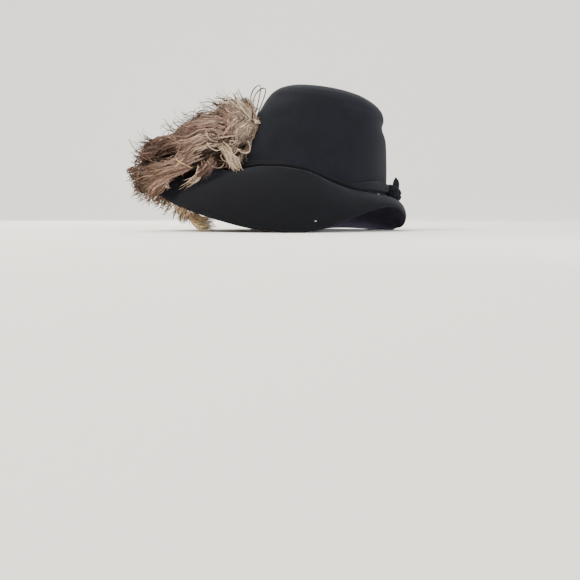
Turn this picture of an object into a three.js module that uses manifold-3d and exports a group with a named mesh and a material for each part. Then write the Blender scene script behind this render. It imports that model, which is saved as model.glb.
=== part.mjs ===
// A wide-brimmed felt fedora, worn tipped to one side, at rest on the front and the back of its own brim.
// The crown leans a little and is dented on top. The brim is long and low in front, on the left and behind,
// and short and raised on the right. A narrow strap of the same felt goes round the foot of the crown and
// is knotted on the right. A curled ostrich plume lies on the left of the brim, wraps the rim and ends
// under it.
//
// Millimetres, +Z up, z = 0 is the surface that the hat rests on, and -Y is the side that the viewer sees.
// The origin is under the middle of the whole. All sizes below are taken from the crown's own centre in
// plan, and so are the azimuths: 0 faces the viewer (-Y), 90 the right (+X).
import * as THREE from "three";
import { mergeVertices } from "three/addons/utils/BufferGeometryUtils.js";
import Module from "manifold-3d";

// Driving dimensions.
const FELT = 2.5; // wall of the crown and the brim
const FOOT = 2.2; // the felt where the brim is pressed flat by the surface
const GAP = 0.3; // clearance between neighbouring pieces
const SEAM_HEIGHT = 59; // middle of the seam between crown and brim, above the surface
const CROWN_ROLL = 9; // degrees that the crown's foot is rolled towards the right
const FRONT_AZIMUTH = -25; // the way the wearer's forehead faces
const HEAD_WIDTH = 172; // short and long way across the crown's foot, outside the felt
const HEAD_LENGTH = 202;
const OVAL_POWER = 2.15; // 2 is an ellipse, more is squarer
const CROWN_TUCK = FELT; // how far the crown's wall goes down inside the brim
const BAND_FELT = 1.6; // thickness of the strap
const AROUND = 72; // facets round the crown and the brim

// Crown sections, from the seam up: height over the seam, sideways shift of the centre, half width across
// the view, and how much longer than wide the oval is.
const CROWN_SECTIONS = [
  { up: 0, shift: 0, half: 89, longer: 1.174 },
  { up: 10, shift: -0.4, half: 88.2, longer: 1.174 },
  { up: 23, shift: -0.8, half: 86.6, longer: 1.176 },
  { up: 36, shift: -1, half: 84.4, longer: 1.18 },
  { up: 49, shift: -0.8, half: 81.6, longer: 1.185 },
  { up: 62, shift: 0, half: 78, longer: 1.19 },
  { up: 75, shift: 1.2, half: 74, longer: 1.2 },
  { up: 87, shift: 2, half: 69.6, longer: 1.21 },
  { up: 96, shift: 2.2, half: 63.6, longer: 1.22 },
  { up: 102.5, shift: 2.2, half: 54.6, longer: 1.24 },
  { up: 107, shift: 2.4, half: 42, longer: 1.27 },
  { up: 109.4, shift: 3, half: 28, longer: 1.3 },
  { up: 110.4, shift: 3, half: 14, longer: 1.3 },
];

// Dents pressed into the crown: where, how wide and how high they spread, and how deep.
const CROWN_DENTS = [
  { name: "side dent by the knot", azimuth: 96, up: 75, spreadAzimuth: 30, spreadUp: 9, depth: 4.5 },
  { name: "pinch on the near left", azimuth: -42, up: 88, spreadAzimuth: 15, spreadUp: 11, depth: 3.5 },
  { name: "pinch on the near right", azimuth: 26, up: 90, spreadAzimuth: 15, spreadUp: 10, depth: 2 },
];
const TOP_DENT = { length: 58, width: 27, back: 8, depth: 15 };

// The seam isn't level: its rise over the crown's foot, round the hat.
const SEAM_RISES = [
  { azimuth: -90, rise: -4 },
  { azimuth: -60, rise: -0.5 },
  { azimuth: -40, rise: 4.5 },
  { azimuth: -22, rise: 7.5 },
  { azimuth: -5, rise: 6 },
  { azimuth: 10, rise: -0.8 },
  { azimuth: 25, rise: -4.8 },
  { azimuth: 50, rise: -5 },
  { azimuth: 90, rise: -5 },
  { azimuth: 135, rise: -2 },
  { azimuth: 180, rise: 0 },
  { azimuth: 225, rise: -2 },
];

// The brim's rim, round the hat: how far out and how high it is, and how far the brim bellies out
// beyond the straight line from seam to rim. What would be under the surface is pressed flat on it.
const BRIM_RIM = [
  { azimuth: -90, reach: 187, height: 47, belly: 13 },
  { azimuth: -65, reach: 171, height: 29, belly: 12 },
  { azimuth: -42, reach: 157, height: 12, belly: 12 },
  { azimuth: -25, reach: 150, height: 2, belly: 11 },
  { azimuth: -10, reach: 143, height: -2, belly: 10 },
  { azimuth: 2, reach: 134, height: 1, belly: 9 },
  { azimuth: 14, reach: 122, height: 11, belly: 7 },
  { azimuth: 26, reach: 114, height: 19, belly: 4 },
  { azimuth: 38, reach: 111, height: 26, belly: 3 },
  { azimuth: 50, reach: 110, height: 29.5, belly: 3 },
  { azimuth: 62, reach: 110, height: 29, belly: 4 },
  { azimuth: 78, reach: 111, height: 21.5, belly: 6 },
  { azimuth: 92, reach: 114, height: 11, belly: 9 },
  { azimuth: 110, reach: 119, height: 1, belly: 10 },
  { azimuth: 135, reach: 125, height: -2, belly: 11 },
  { azimuth: 165, reach: 128, height: -2, belly: 12 },
  { azimuth: 195, reach: 132, height: -1, belly: 12 },
  { azimuth: 220, reach: 143, height: 13, belly: 12 },
  { azimuth: 245, reach: 166, height: 33, belly: 13 },
];

// The strap round the crown's foot: its height, how far it stands off the crown, and how far it is lifted.
const BAND_SECTIONS = [
  { azimuth: -180, height: 9, stand: 0.6, lift: 1.5 },
  { azimuth: -110, height: 8, stand: 0.6, lift: 1.5 },
  { azimuth: -58, height: 7.4, stand: 0.6, lift: 1.2 },
  { azimuth: -25, height: 5.4, stand: 0.6, lift: 1 },
  { azimuth: -3, height: 3.2, stand: 0.6, lift: 1 },
  { azimuth: 12, height: 3.4, stand: 0.6, lift: 1 },
  { azimuth: 22, height: 4.6, stand: 0.7, lift: 1.2 },
  { azimuth: 36, height: 7.6, stand: 1.2, lift: 2.2 },
  { azimuth: 56, height: 9.6, stand: 2, lift: 4 },
  { azimuth: 79, height: 11, stand: 2.6, lift: 5 },
  { azimuth: 110, height: 10, stand: 2.4, lift: 4.5 },
  { azimuth: 140, height: 9, stand: 0.6, lift: 1.5 },
];
const BAND_START = 95; // the strap's two ends, inside the knot
const BAND_END = 83 + 360;

// The plume's outer form, along its middle line: over the left of the brim from the end beside the crown,
// then round the rim and back under it. The columns are the middle's place and half the height and depth.
const PLUME_OVER = [
  { x: -52, y: -34, z: 147, high: 8, deep: 12 },
  { x: -66, y: -34, z: 131, high: 25, deep: 28 },
  { x: -88, y: -32, z: 115, high: 39, deep: 40 },
  { x: -112, y: -28, z: 106, high: 41, deep: 46 },
  { x: -136, y: -22, z: 97, high: 37, deep: 47 },
  { x: -160, y: -14, z: 87, high: 31, deep: 45 },
  { x: -182, y: -8, z: 76, high: 26, deep: 40 },
  { x: -199, y: -4, z: 66, high: 20, deep: 32 },
  { x: -213, y: -2, z: 59, high: 6, deep: 14 },
];
const PLUME_UNDER = [
  { x: -209, y: -3, z: 52, high: 6, deep: 16 },
  { x: -198, y: -3, z: 46, high: 13, deep: 30 },
  { x: -181, y: -4, z: 37, high: 15, deep: 34 },
  { x: -162, y: -8, z: 26, high: 13, deep: 29 },
  { x: -142, y: -17, z: 17, high: 11, deep: 22 },
  { x: -120, y: -26, z: 13, high: 9, deep: 15 },
  { x: -102, y: -32, z: 12, high: 3, deep: 5 },
];

// The knot of the strap: its middle from the crown's centre, its half sizes, and the folds round it.
const KNOT = { x: 97.5, y: -2, z: 47, halfX: 9.5, halfY: 12, halfZ: 10.5, folds: 3, foldDepth: 0.13 };

// The strap's pointed end, that stands up out of the knot, from its root to its tip.
const END_SECTIONS = [
  { x: 99, y: 9, z: 50.5, wide: 4.5, thick: 1.6 },
  { x: 101, y: 11, z: 55.5, wide: 5, thick: 1.5 },
  { x: 102.5, y: 12, z: 60, wide: 3.8, thick: 1.3 },
  { x: 102.5, y: 12, z: 64, wide: 1, thick: 0.6 },
];

const radians = THREE.MathUtils.degToRad;
const wasm = await Module();
wasm.setup();

// Reads a table that goes round the hat: a smooth closed curve through its rows.
function roundTable(rows) {
  const columns = Object.keys(rows[0]).filter((name) => name !== "azimuth");
  const count = rows.length;
  const azimuthOf = (i) => rows[((i % count) + count) % count].azimuth + 360 * Math.floor(i / count);
  const valueOf = (i, name) => rows[((i % count) + count) % count][name];
  const slopeAt = (i, name) =>
    (valueOf(i + 1, name) - valueOf(i - 1, name)) / (azimuthOf(i + 1) - azimuthOf(i - 1));
  return (azimuth) => {
    const turned = rows[0].azimuth + ((((azimuth - rows[0].azimuth) % 360) + 360) % 360);
    let i = 0;
    while (azimuthOf(i + 1) <= turned) i += 1;
    const step = azimuthOf(i + 1) - azimuthOf(i);
    const t = (turned - azimuthOf(i)) / step;
    const found = {};
    for (const name of columns) {
      found[name] =
        (2 * t ** 3 - 3 * t ** 2 + 1) * valueOf(i, name) +
        (t ** 3 - 2 * t ** 2 + t) * step * slopeAt(i, name) +
        (3 * t ** 2 - 2 * t ** 3) * valueOf(i + 1, name) +
        (t ** 3 - t ** 2) * step * slopeAt(i + 1, name);
    }
    return found;
  };
}

const seamAt = roundTable(SEAM_RISES);
const rimAt = roundTable(BRIM_RIM);
const bandAt = roundTable(BAND_SECTIONS);

// Turns the crown's own frame, whose foot is level, into the part's: rolled, lifted and centred.
const crownFrame = new THREE.Matrix4()
  .makeTranslation(0, 0, SEAM_HEIGHT)
  .multiply(new THREE.Matrix4().makeRotationY(radians(CROWN_ROLL)));

// Radius of an oval of that half width and length, in the direction of an azimuth.
function ovalRadius(azimuth, halfWidth, halfLength) {
  const turn = radians(azimuth - FRONT_AZIMUTH);
  const along = Math.abs(Math.cos(turn) / halfLength) ** OVAL_POWER;
  const across = Math.abs(Math.sin(turn) / halfWidth) ** OVAL_POWER;
  return (along + across) ** (-1 / OVAL_POWER);
}

// The crown section at a height, between the rows of the table.
function crownSection(up) {
  const rows = CROWN_SECTIONS;
  let i = 0;
  while (i < rows.length - 2 && rows[i + 1].up < up) i += 1;
  const t = THREE.MathUtils.clamp((up - rows[i].up) / (rows[i + 1].up - rows[i].up), -0.5, 1);
  const mix = (name) => THREE.MathUtils.lerp(rows[i][name], rows[i + 1][name], t);
  return { shift: mix("shift"), half: mix("half"), longer: mix("longer") };
}

// How far the crown is pressed in, there.
function sideDent(azimuth, up) {
  let depth = 0;
  for (const dent of CROWN_DENTS) {
    const around = (((azimuth - dent.azimuth + 540) % 360) - 180) / dent.spreadAzimuth;
    const over = (up - dent.up) / dent.spreadUp;
    depth += dent.depth * Math.exp(-around * around - over * over);
  }
  return depth;
}

function topDent(x, y) {
  const front = radians(FRONT_AZIMUTH);
  const along = -x * Math.sin(front) + y * Math.cos(front) - TOP_DENT.back;
  const across = x * Math.cos(front) + y * Math.sin(front);
  const far = Math.hypot(along / TOP_DENT.length, across / TOP_DENT.width);
  return far < 1 ? TOP_DENT.depth * (0.5 + 0.5 * Math.cos(Math.PI * far)) : 0;
}

const WIDTH_SHARE = HEAD_WIDTH / 2 / CROWN_SECTIONS[0].half; // half width across the view to the oval's own

// A point of the crown's outer face, in the part's frame. share: 1 on the section's oval, 0 at its middle.
function crownPoint(azimuth, up, share = 1) {
  const section = crownSection(up);
  const halfWidth = section.half * WIDTH_SHARE;
  const oval = ovalRadius(azimuth, halfWidth, halfWidth * section.longer);
  const radius = share * (oval - sideDent(azimuth, up));
  const x = section.shift + radius * Math.sin(radians(azimuth));
  const y = -radius * Math.cos(radians(azimuth));
  const rise = seamAt(azimuth).rise * Math.max(0, 1 - Math.max(up, 0) / 60);
  return new THREE.Vector3(x, y, up + rise - topDent(x, y)).applyMatrix4(crownFrame);
}

// The level direction outwards at an azimuth, and a point that clears the crown's outer face by the gap.
function outward(azimuth) {
  return new THREE.Vector3(Math.sin(radians(azimuth)), -Math.cos(radians(azimuth)), 0);
}

function beside(azimuth, up) {
  return crownPoint(azimuth, up).addScaledVector(outward(azimuth), GAP);
}

// A point of the brim's upper face: share 0 at the seam, 1 at the rim.
function brimPoint(azimuth, share) {
  const seam = beside(azimuth, 0);
  const out = outward(azimuth);
  const { reach, height, belly } = rimAt(azimuth);
  const rim = out.clone().multiplyScalar(reach).setZ(height);
  const chord = rim.clone().sub(seam);
  const run = Math.hypot(chord.x, chord.y);
  const bulge = new THREE.Vector3(-chord.z * out.x, -chord.z * out.y, run).normalize();
  const middle = seam.clone().add(rim).multiplyScalar(0.5).addScaledVector(bulge, 2 * belly);
  const point = seam.clone().multiplyScalar((1 - share) ** 2);
  point.addScaledVector(middle, 2 * share * (1 - share));
  point.addScaledVector(rim, share ** 2);
  const under = Math.max(FOOT - point.z, 0);
  return point.addScaledVector(out, 0.8 * under).add(new THREE.Vector3(0, 0, under));
}

// A closed shell between an outer grid of points and the same grid moved in by the felt's thickness.
// outer(i, j): i goes round, j from edge to edge. The last row is one point on a crown, and on a brim
// lastInner(i) places the inner corner of the last edge.
function shell(levels, outer, thickness, lastInner) {
  const rows = [];
  for (let j = 0; j <= levels; j += 1) {
    const row = [];
    for (let i = 0; i < AROUND; i += 1) row.push(outer(i, j));
    rows.push(row);
  }
  const inner = rows.map((row, j) =>
    row.map((point, i) => {
      const next = row[(i + 1) % AROUND];
      const back = row[(i + AROUND - 1) % AROUND];
      const above = rows[Math.min(j + 1, levels)][i];
      const below = rows[Math.max(j - 1, 0)][i];
      const normal = next.clone().sub(back).cross(above.clone().sub(below)).normalize();
      const inside = point.clone().addScaledVector(normal, -thickness);
      if (point.z < FOOT + 1e-3) inside.set(point.x, point.y, 0);
      return inside.setZ(Math.max(inside.z, 0));
    }),
  );
  const pole = !lastInner;
  if (lastInner) inner[levels] = rows[levels].map((point, i) => lastInner(i));
  if (pole) {
    const down = new THREE.Vector3(0, 0, -1).transformDirection(crownFrame).multiplyScalar(thickness);
    const middle = rows[levels][0];
    inner[levels] = rows[levels].map(() => middle.clone().add(down));
  }
  const triangles = [];
  const quad = (a, b, c, d) => triangles.push(a, b, c, a, c, d);
  for (let i = 0; i < AROUND; i += 1) {
    const k = (i + 1) % AROUND;
    for (let j = 0; j < levels; j += 1) {
      quad(rows[j][i], rows[j][k], rows[j + 1][k], rows[j + 1][i]);
      quad(inner[j][i], inner[j + 1][i], inner[j + 1][k], inner[j][k]);
    }
    quad(rows[0][i], inner[0][i], inner[0][k], rows[0][k]);
    if (!pole) quad(rows[levels][i], rows[levels][k], inner[levels][k], inner[levels][i]);
  }
  return solidFrom(triangles);
}

// A closed sweep: sections is a list of rings of points, each ring in the same order.
function sweep(sections) {
  const triangles = [];
  const size = sections[0].length;
  for (let s = 0; s + 1 < sections.length; s += 1) {
    for (let i = 0; i < size; i += 1) {
      const k = (i + 1) % size;
      const [a, b, c, d] = [sections[s][i], sections[s][k], sections[s + 1][k], sections[s + 1][i]];
      triangles.push(a, b, c, a, c, d);
    }
  }
  for (const [ring, flip] of [[sections[0], true], [sections.at(-1), false]]) {
    const middle = new THREE.Vector3();
    for (const point of ring) middle.addScaledVector(point, 1 / size);
    for (let i = 0; i < size; i += 1) {
      const k = (i + 1) % size;
      triangles.push(...(flip ? [middle, ring[k], ring[i]] : [middle, ring[i], ring[k]]));
    }
  }
  return solidFrom(triangles);
}

// Geometry from a list of corners, three for each triangle, without those that have no area.
function solidFrom(corners) {
  const kept = [];
  for (let i = 0; i < corners.length; i += 3) {
    const [a, b, c] = corners.slice(i, i + 3);
    if (a.distanceTo(b) > 1e-4 && b.distanceTo(c) > 1e-4 && c.distanceTo(a) > 1e-4) kept.push(a, b, c);
  }
  const geometry = new THREE.BufferGeometry().setFromPoints(kept);
  return mergeVertices(geometry, 1e-4);
}

const felt = new THREE.MeshStandardMaterial({ color: "#1f2228", roughness: 0.95, metalness: 0 });
const strapFelt = new THREE.MeshStandardMaterial({ color: "#232529", roughness: 0.9, metalness: 0 });
const feather = new THREE.MeshStandardMaterial({ color: "#a48a72", roughness: 0.8, metalness: 0 });

// Joins and cuts closed geometries.
function solidOf(geometry) {
  const merged = mergeVertices(geometry, 1e-4);
  return new wasm.Manifold(
    new wasm.Mesh({
      numProp: 3,
      vertProperties: merged.attributes.position.array,
      triVerts: new Uint32Array(merged.index.array),
    }),
  );
}

function geometryOf(solid) {
  const mesh = solid.getMesh();
  const geometry = new THREE.BufferGeometry();
  geometry.setAttribute("position", new THREE.BufferAttribute(new Float32Array(mesh.vertProperties), 3));
  geometry.setIndex(new THREE.BufferAttribute(new Uint32Array(mesh.triVerts), 1));
  return geometry;
}

// What is left of a geometry outside others: its largest body.
function clearOf(geometry, others) {
  let left = solidOf(geometry);
  for (const other of others) left = left.subtract(solidOf(other));
  const bodies = left.decompose().sort((a, b) => b.volume() - a.volume());
  return geometryOf(bodies[0]);
}

// The crown's wall, moved out by the clearance and thick enough to fill the crown when asked.
function crownWall(clearance, thickness) {
  const side = [-CROWN_TUCK, 0, 9, 20, 32, 44, 56, 66, 74, 81, 88, 95, 101, 105.5, 108.5];
  const top = [1, 0.75, 0.5, 0.25, 0]; // shares of the topmost oval, in to the middle
  const topUp = 109.4;
  const outer = (i, j) => {
    const azimuth = (360 * i) / AROUND;
    const inTop = j >= side.length;
    if (!inTop) return crownPoint(azimuth, side[j]).addScaledVector(outward(azimuth), clearance);
    return crownPoint(azimuth, topUp, top[j - side.length]).add(new THREE.Vector3(0, 0, clearance));
  };
  return shell(side.length + top.length - 1, outer, thickness);
}

// The brim, with its upper face moved up and its rim moved out by the clearance.
function brimWall(clearance, thickness) {
  const shares = [1, 0.965, 0.88, 0.77, 0.66, 0.55, 0.44, 0.33, 0.22, 0.11, 0];
  const outer = (i, j) => {
    const azimuth = (360 * i) / AROUND;
    const point = brimPoint(azimuth, shares[j]).add(new THREE.Vector3(0, 0, clearance));
    return point.addScaledVector(outward(azimuth), j === 0 ? 1.5 * clearance : 0);
  };
  const seamInner = (i) => beside((360 * i) / AROUND, -thickness);
  return shell(shares.length - 1, outer, thickness, seamInner);
}

// The strap, grown by a margin where it is the space that another piece is kept out of.
function bandBody(margin) {
  const steps = 84;
  const sections = [];
  for (let s = 0; s <= steps; s += 1) {
    const azimuth = BAND_START + ((BAND_END - BAND_START) * s) / steps;
    const { height, stand, lift } = bandAt(azimuth);
    const at = (up, off) => crownPoint(azimuth, up).addScaledVector(outward(azimuth), off);
    const low = lift - margin;
    const high = lift + height + margin;
    const near = stand - margin;
    const far = stand + BAND_FELT + margin;
    const belly = far + 0.3 * BAND_FELT;
    const middle = at(lift + height / 2, belly);
    sections.push([at(low, near), at(high, near), at(high, far), middle, at(low, far)]);
  }
  return sweep(sections);
}

// A closed tube of oval sections along the rows' middles, made longer at both ends when asked.
function ovalTube(rows, perRow, around, across, longer = 0) {
  const line = new THREE.CatmullRomCurve3(rows.map((row) => new THREE.Vector3(row.x, row.y, row.z)));
  const steps = (rows.length - 1) * perRow;
  const sections = [];
  for (let s = 0; s <= steps; s += 1) {
    const place = s / perRow;
    const i = Math.min(Math.floor(place), rows.length - 2);
    const along = line.getTangent(s / steps);
    const side = across.clone().addScaledVector(along, -across.dot(along)).normalize();
    const up = side.clone().cross(along).normalize();
    const middle = line.getPoint(s / steps).addScaledVector(along, longer * Math.sign(2 * s - steps));
    const high = THREE.MathUtils.lerp(rows[i].high, rows[i + 1].high, place - i);
    const deep = THREE.MathUtils.lerp(rows[i].deep, rows[i + 1].deep, place - i);
    const ring = [];
    for (let k = 0; k < around; k += 1) {
      const turn = (2 * Math.PI * k) / around;
      const point = middle.clone().addScaledVector(up, high * Math.cos(turn));
      ring.push(point.addScaledVector(side, deep * Math.sin(turn)));
    }
    sections.push(ring);
  }
  return sweep(sections);
}

function makePlume() {
  const over = ovalTube(PLUME_OVER, 3, 20, new THREE.Vector3(0, 1, 0));
  const under = ovalTube(PLUME_UNDER, 3, 20, new THREE.Vector3(0, 1, 0));
  const body = geometryOf(solidOf(over).add(solidOf(under)));
  return clearOf(body, [crownWall(0.6, 30), brimWall(0.9, FELT + 1.8), bandBody(0.5)]);
}

// The knot, grown by a margin in the same way.
function knotBody(margin) {
  const around = 20;
  const levels = 12;
  const sections = [];
  for (let j = 0; j <= levels; j += 1) {
    const height = Math.cos((Math.PI * (j + 0.35)) / (levels + 0.7));
    const flat = Math.sqrt(1 - height * height);
    const ring = [];
    for (let i = 0; i < around; i += 1) {
      const turn = (2 * Math.PI * i) / around;
      const fold = 1 + KNOT.foldDepth * Math.cos(KNOT.folds * turn + 2.2 * height);
      const x = KNOT.x + (KNOT.halfX + margin) * flat * fold * Math.sin(turn);
      const y = KNOT.y - (KNOT.halfY + margin) * flat * fold * Math.cos(turn);
      ring.push(new THREE.Vector3(x, y, KNOT.z - (KNOT.halfZ + margin) * height));
    }
    sections.push(ring);
  }
  return sweep(sections);
}

// The strap's end, grown by a margin in the same way.
function endBody(margin) {
  const rows = END_SECTIONS.map(({ x, y, z, wide, thick }) => {
    return { x, y, z, high: thick + margin, deep: wide + margin };
  });
  return ovalTube(rows, 3, 12, new THREE.Vector3(0.75, 0.66, 0), margin);
}

const hat = new THREE.Group();

function add(name, geometry, material) {
  const mesh = new THREE.Mesh(geometry, material);
  mesh.name = name;
  hat.add(mesh);
}

add("crown", crownWall(0, FELT), felt);
add("brim", brimWall(0, FELT), felt);
add("band", clearOf(bandBody(0), [knotBody(0.4)]), strapFelt);
add("knot", clearOf(knotBody(0), [crownWall(0.6, 30), brimWall(0.6, FELT + 1), endBody(0.4)]), strapFelt);
add("knot_end", endBody(0), strapFelt);
add("plume", makePlume(), feather);

// The middle of the whole in plan comes to the origin.
const middle = new THREE.Box3().setFromObject(hat, true).getCenter(new THREE.Vector3());
hat.position.set(-middle.x, -middle.y, 0);

export default hat;
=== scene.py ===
import math
from typing import NamedTuple

import bpy
import numpy as np
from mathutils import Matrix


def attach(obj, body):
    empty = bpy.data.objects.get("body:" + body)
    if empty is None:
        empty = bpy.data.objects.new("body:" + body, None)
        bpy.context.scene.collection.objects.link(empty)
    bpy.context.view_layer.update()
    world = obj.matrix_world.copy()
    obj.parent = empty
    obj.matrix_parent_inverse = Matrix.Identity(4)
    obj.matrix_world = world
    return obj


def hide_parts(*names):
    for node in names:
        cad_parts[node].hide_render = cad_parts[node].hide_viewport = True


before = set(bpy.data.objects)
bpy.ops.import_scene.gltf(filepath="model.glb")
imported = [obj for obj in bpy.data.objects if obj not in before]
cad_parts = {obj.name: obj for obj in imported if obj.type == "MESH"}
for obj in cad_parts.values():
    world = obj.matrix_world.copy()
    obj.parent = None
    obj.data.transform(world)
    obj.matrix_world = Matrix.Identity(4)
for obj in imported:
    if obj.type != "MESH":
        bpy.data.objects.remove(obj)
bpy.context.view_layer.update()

bl_info = {
    "name": "Plumed felt fedora",
    "version": (1, 0, 0),
    "blender": (4, 5, 0),
    "location": "View3D > Sidebar > Fedora",
    "description": "Builds a wide felt fedora with a knotted strap and a curled ostrich plume",
    "category": "Object",
}

# Sizes are millimetres. Places are taken from the crown's own centre in plan, and azimuths are degrees in
# plan about it: 0 faces the viewer (-Y), 90 the right (+X). CROWN_CENTRE moves them into the frame.
MM = 0.001
TURN = 2.0 * math.pi
CROWN_CENTRE = np.array([50.752, 5.464, 0.0])
BACKWARD = np.array([0.0, 1.0, 0.0])  # away from the viewer

FELT = 2.5  # wall of the crown and the brim
UNDER_FACE_PAINTED_LIGHT = (42.0, 31.0, 31.0)  # times the upper face's colour: painted light, which lightens the under face that lies in shade
FOOT = 2.2  # upper face of the felt where the surface presses the brim flat
GAP = 0.3  # between crown and brim
SEAM_HEIGHT = 59.0  # of the crown's foot, at its middle
CROWN_ROLL = math.radians(9.0)  # lean to the right
FRONT_AZIMUTH = -25.0  # where the hat's own front points
CROWN_WIDTH = 172.0  # at its foot, outside
OVAL_POWER = 2.15
TOP_SWELL = 1.6  # how far the top's middle rises over its edge, without the dent
CROWN_WAVES = 0.28  # height of the felt's slow waves
BRIM_WAVES = 0.35
FELT_ROUGH = 0.92  # roughness of each surface's shine
STRAP_ROUGH = 0.88
BARB_ROUGH = 0.62

# Columns: height on the crown, shift of its middle to the right, half width, length over width.
CROWN_SECTIONS = (
    (0, 0.0, 89.0, 1.174),
    (10, -0.4, 88.2, 1.174),
    (23, -0.8, 86.6, 1.176),
    (36, -1.0, 84.4, 1.18),
    (49, -0.8, 81.6, 1.185),
    (62, 0.0, 78.0, 1.19),
    (75, 1.2, 74.0, 1.2),
    (87, 2.0, 69.6, 1.21),
    (96, 2.2, 63.6, 1.22),
    (102.5, 2.2, 54.6, 1.24),
    (107, 2.4, 42.0, 1.27),
    (109.4, 3.0, 28.0, 1.3),
)

# Columns: azimuth, height, spread in degrees, spread in height, depth.
CROWN_DENTS = (
    (96, 75, 30, 9, 4.5),
    (-42, 88, 15, 11, 3.5),
    (26, 90, 15, 10, 2.0),
)
TOP_DENT = {"length": 58.0, "width": 27.0, "back": 8.0, "depth": 15.0}

# Columns: azimuth, rise of the seam.
SEAM_RISES = (
    (-90, -4),
    (-60, -0.5),
    (-40, 4.5),
    (-22, 7.5),
    (-5, 6),
    (10, -0.8),
    (25, -4.8),
    (50, -5),
    (90, -5),
    (135, -2),
    (180, 0),
    (225, -2),
)

# Columns: azimuth, reach of the rim from the centre, its height, and how far the brim bellies out.
BRIM_RIM = (
    (-90, 187, 47, 13),
    (-65, 171, 29, 12),
    (-42, 157, 12, 12),
    (-25, 150, 2, 11),
    (-10, 143, -2, 10),
    (2, 134, 1, 9),
    (14, 122, 11, 7),
    (26, 114, 19, 4),
    (38, 111, 26, 3),
    (50, 110, 29.5, 3),
    (62, 110, 29, 4),
    (78, 111, 21.5, 6),
    (92, 114, 11, 9),
    (110, 119, 1, 10),
    (135, 125, -2, 11),
    (165, 128, -2, 12),
    (195, 132, -1, 12),
    (220, 143, 13, 12),
    (245, 166, 33, 13),
)

# Columns: azimuth, height of the strap, how far it stands off the crown, its foot's height on the crown.
BAND_SECTIONS = (
    (-180, 9, 0.6, 1.5),
    (-110, 8, 0.6, 1.5),
    (-58, 7.4, 0.6, 1.2),
    (-25, 5.4, 0.6, 1.0),
    (-3, 3.2, 0.6, 1.0),
    (12, 3.4, 0.6, 1.0),
    (22, 4.6, 0.7, 1.2),
    (36, 7.6, 1.2, 2.2),
    (56, 9.6, 2.0, 4.0),
    (79, 11, 2.6, 5.0),
    (110, 10, 2.4, 4.5),
    (140, 9, 0.6, 1.5),
)
BAND_START = 95.0  # the strap's two ends, inside the knot
BAND_END = 83.0 + 360.0

# The plume's outer form, over the brim and then back under it. Columns: middle x, y, z, half height and
# half depth.
PLUME_FORM = (
    (-56, -32, 137, 14, 18),
    (-68, -34, 128, 25, 28),
    (-88, -32, 115, 39, 40),
    (-112, -28, 106, 41, 46),
    (-136, -22, 97, 37, 47),
    (-160, -14, 87, 31, 45),
    (-182, -8, 76, 27, 40),
    (-198, -4, 65, 21, 33),
    (-206, -3, 52, 12, 26),
    (-197, -3, 44, 9, 28),
    (-181, -2, 38, 8, 30),
    (-162, -6, 29, 8, 26),
    (-142, -17, 20, 8, 21),
    (-120, -26, 13, 8, 14),
    (-104, -32, 12, 4, 7),
)


def joined(rows, slopes, place):
    """The columns of a table after its first, at places along the first, by cubics with these slopes."""
    key = rows[:, 0]
    i = np.clip(np.searchsorted(key, place, side="right") - 1, 0, len(key) - 2)
    step = key[i + 1] - key[i]
    t = (place - key[i]) / step
    return [
        (2 * t**3 - 3 * t**2 + 1) * rows[i, c]
        + (t**3 - 2 * t**2 + t) * step * slopes[i, c]
        + (3 * t**2 - 2 * t**3) * rows[i + 1, c]
        + (t**3 - t**2) * step * slopes[i + 1, c]
        for c in range(1, rows.shape[1])
    ]


def read_line(rows, place):
    """The columns of a table after its first, at places along the first, joined smoothly."""
    rows = np.asarray(rows, dtype=float)
    slopes = np.gradient(rows, rows[:, 0], axis=0)
    return joined(rows, slopes, np.clip(place, rows[0, 0], rows[-1, 0]))


def read_round(rows, azimuth):
    """The columns of a table that goes round the hat, at these azimuths, joined smoothly."""
    rows = np.asarray(rows, dtype=float)
    ring = np.vstack([rows[-1], rows, rows[0], rows[1]])
    ring[0, 0] -= 360.0
    ring[-2:, 0] += 360.0
    slopes = np.zeros(ring.shape)
    slopes[1:-1] = (ring[2:] - ring[:-2]) / (ring[2:, :1] - ring[:-2, :1])
    return joined(ring, slopes, rows[0, 0] + np.mod(azimuth - rows[0, 0], 360.0))


def curve(start, bend, end, share):
    """Points of a smooth line from start over bend to end, at these shares of it."""
    return np.stack(read_line([(0.0, *start), (0.5, *bend), (1.0, *end)], share), axis=-1)


def unit(vectors):
    return vectors / np.maximum(np.linalg.norm(vectors, axis=-1, keepdims=True), 1e-9)


def outward(azimuth):
    """The level direction outwards at an azimuth."""
    turn = np.radians(azimuth)
    return np.stack([np.sin(turn), -np.cos(turn), np.zeros_like(turn)], axis=-1)


def round_angles(count):
    """Angles of this many places once round."""
    return TURN * np.arange(count) / count


def squarer(wave, power):
    """A sine or cosine with fuller shoulders, which makes a rounded strip of an oval."""
    return np.sign(wave) * np.abs(wave) ** power


def crossways(lines, guide):
    """Two directions across lines at each of their points, square to each other, the first to the guide."""
    along = unit(np.gradient(lines, axis=1))
    side = unit(np.cross(along, guide))
    return side, np.cross(side, along)


def grids(*values):
    return [np.array(v, dtype=float) for v in np.broadcast_arrays(*values)]


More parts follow.
